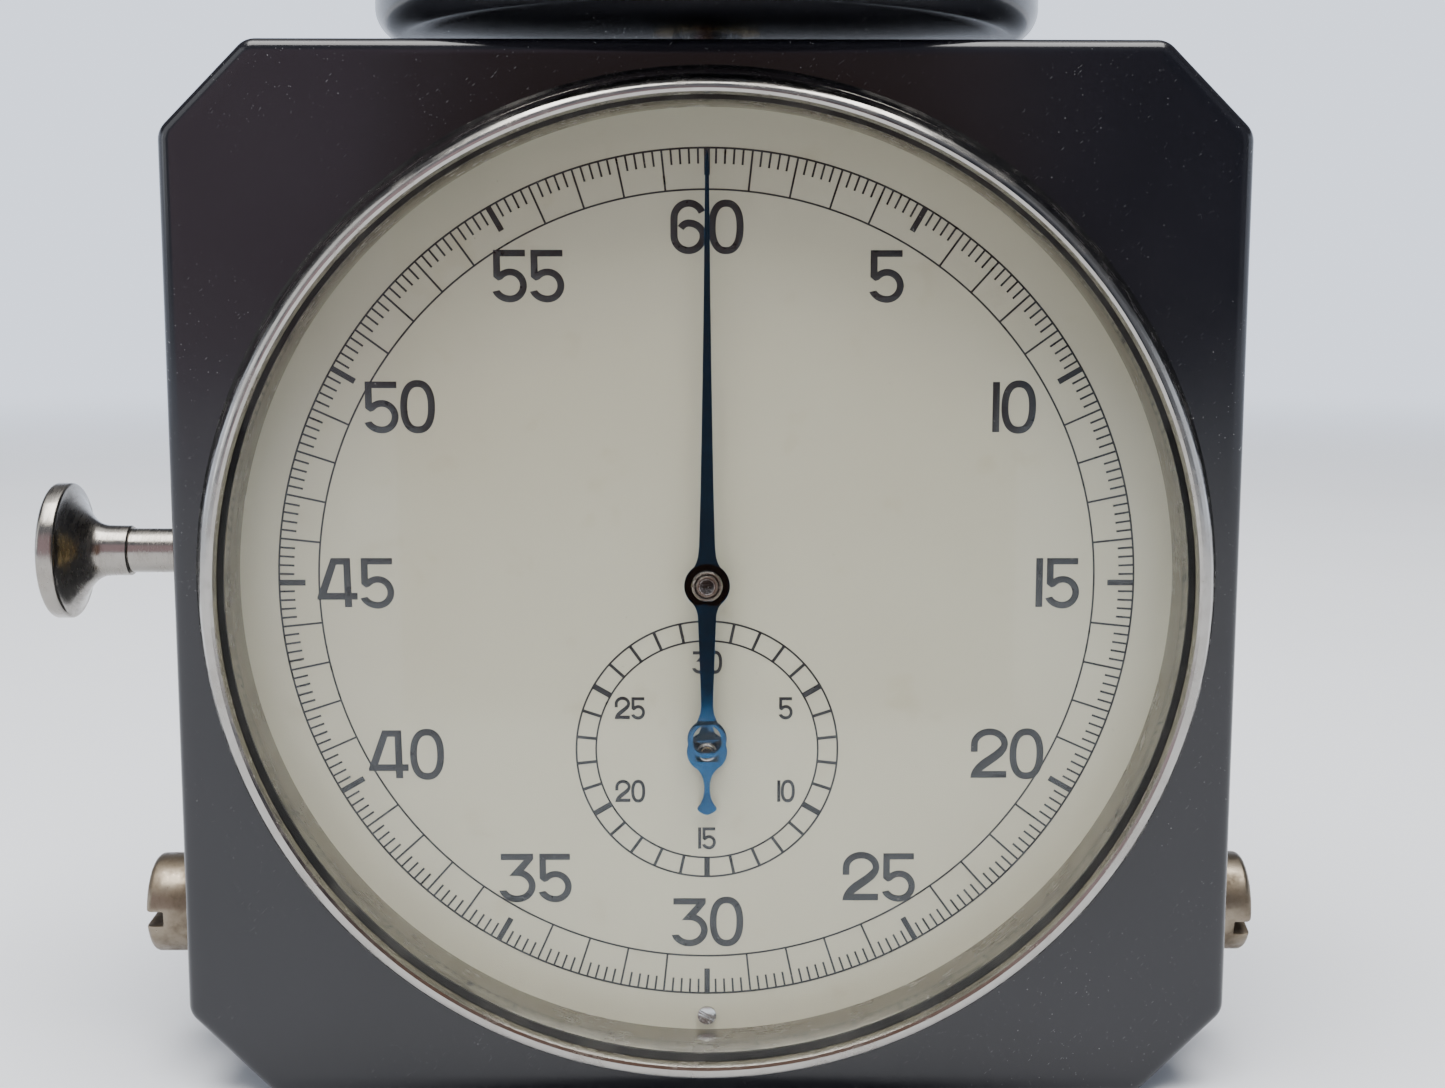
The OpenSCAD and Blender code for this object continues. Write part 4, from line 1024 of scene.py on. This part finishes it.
def area_light(name, at, aim, size, power, colour):
    """Soft rectangular lamp of size metres at a place, turned towards aim."""
    light = bpy.data.lights.new(name, "AREA")
    light.shape = "RECTANGLE"
    light.size, light.size_y = size
    light.energy = power
    light.color = colour
    lamp = bpy.data.objects.new(name, light)
    bpy.context.scene.collection.objects.link(lamp)
    lamp.location = at
    lamp.rotation_euler = (Vector(aim) - Vector(at)).to_track_quat("-Z", "Y").to_euler()


def card_look(name, left, right, reach, soft):
    """Glow that runs from left to right over reach metres, and fades out within soft of its lower edge."""
    material = bpy.data.materials.new(name)
    material.use_nodes = True
    tree = material.node_tree
    tree.nodes.clear()
    parts = tree.nodes.new("ShaderNodeSeparateXYZ")
    tree.links.new(tree.nodes.new("ShaderNodeTexCoord").outputs["Object"], parts.inputs[0])
    spans = []
    for axis, low, high in (("X", -reach, reach), ("Z", 0.0, soft)):
        span = tree.nodes.new("ShaderNodeMapRange")
        span.inputs["From Min"].default_value, span.inputs["From Max"].default_value = low, high
        tree.links.new(parts.outputs[axis], span.inputs["Value"])
        spans.append(span.outputs["Result"])
    tone = tree.nodes.new("ShaderNodeMix")
    tone.data_type = "RGBA"
    tone.inputs[6].default_value, tone.inputs[7].default_value = (*left, 1), (*right, 1)
    tree.links.new(spans[0], tone.inputs["Factor"])
    glow = tree.nodes.new("ShaderNodeEmission")
    tree.links.new(tone.outputs[2], glow.inputs["Color"])
    blend = tree.nodes.new("ShaderNodeMixShader")
    tree.links.new(spans[1], blend.inputs[0])
    tree.links.new(tree.nodes.new("ShaderNodeBsdfTransparent").outputs[0], blend.inputs[1])
    tree.links.new(glow.outputs[0], blend.inputs[2])
    tree.links.new(blend.outputs[0], tree.nodes.new("ShaderNodeOutputMaterial").inputs["Surface"])
    return material


def build_cards():
    """Cards that only reflections see: the camera with the hands that hold it, and the dim room behind."""
    hands = card_look("camera_dark", (0.34, 0.21, 0.17), (0.32, 0.20, 0.16), 0.1, 0.005)
    room = card_look("room_dim", (0.80, 0.60, 0.68), (0.05, 0.06, 0.09), 0.26, 0.06)
    dim = card_look("front_dim", FRONT_DIM, FRONT_DIM, 1, 0.08)
    cards = [
        panel("camera_card", (0, -0.206, 0.09), 0.12, 0.18, (0, 1, 0), hands),
        panel("front_card", (0, -1.15, 0.9), 4.6, 1.8, (0, 1, 0), dim),
        panel("room_card", (0, -0.72, 0.27), 1.1, 0.54, (0, 1, 0), room),
    ]
    for card in cards:
        card.visible_camera = False
        card.visible_diffuse = False
        card.visible_shadow = False


def build_camera():
    """Camera at the photograph's place, angle and lens."""
    camera = bpy.data.objects.new("camera", bpy.data.cameras.new("camera"))
    bpy.context.scene.collection.objects.link(camera)
    camera.data.sensor_width = 36
    camera.data.lens = LENS
    camera.data.clip_start = 0.005
    camera.location = CAMERA_AT
    camera.rotation_euler = [math.radians(a) for a in CAMERA_ANGLES]
    bpy.context.scene.camera = camera


build_floor()
build_air()
area_light("overhead", (0, -0.3, 1.15), (0, 0, 0.05), (1.1, 0.8), 26, (1, 0.99, 0.97))
area_light("side_fill", (-0.9, -0.5, 0.5), (0, 0, 0.05), (0.6, 0.8), 2.2, (0.95, 0.98, 1))
build_cards()
build_camera()
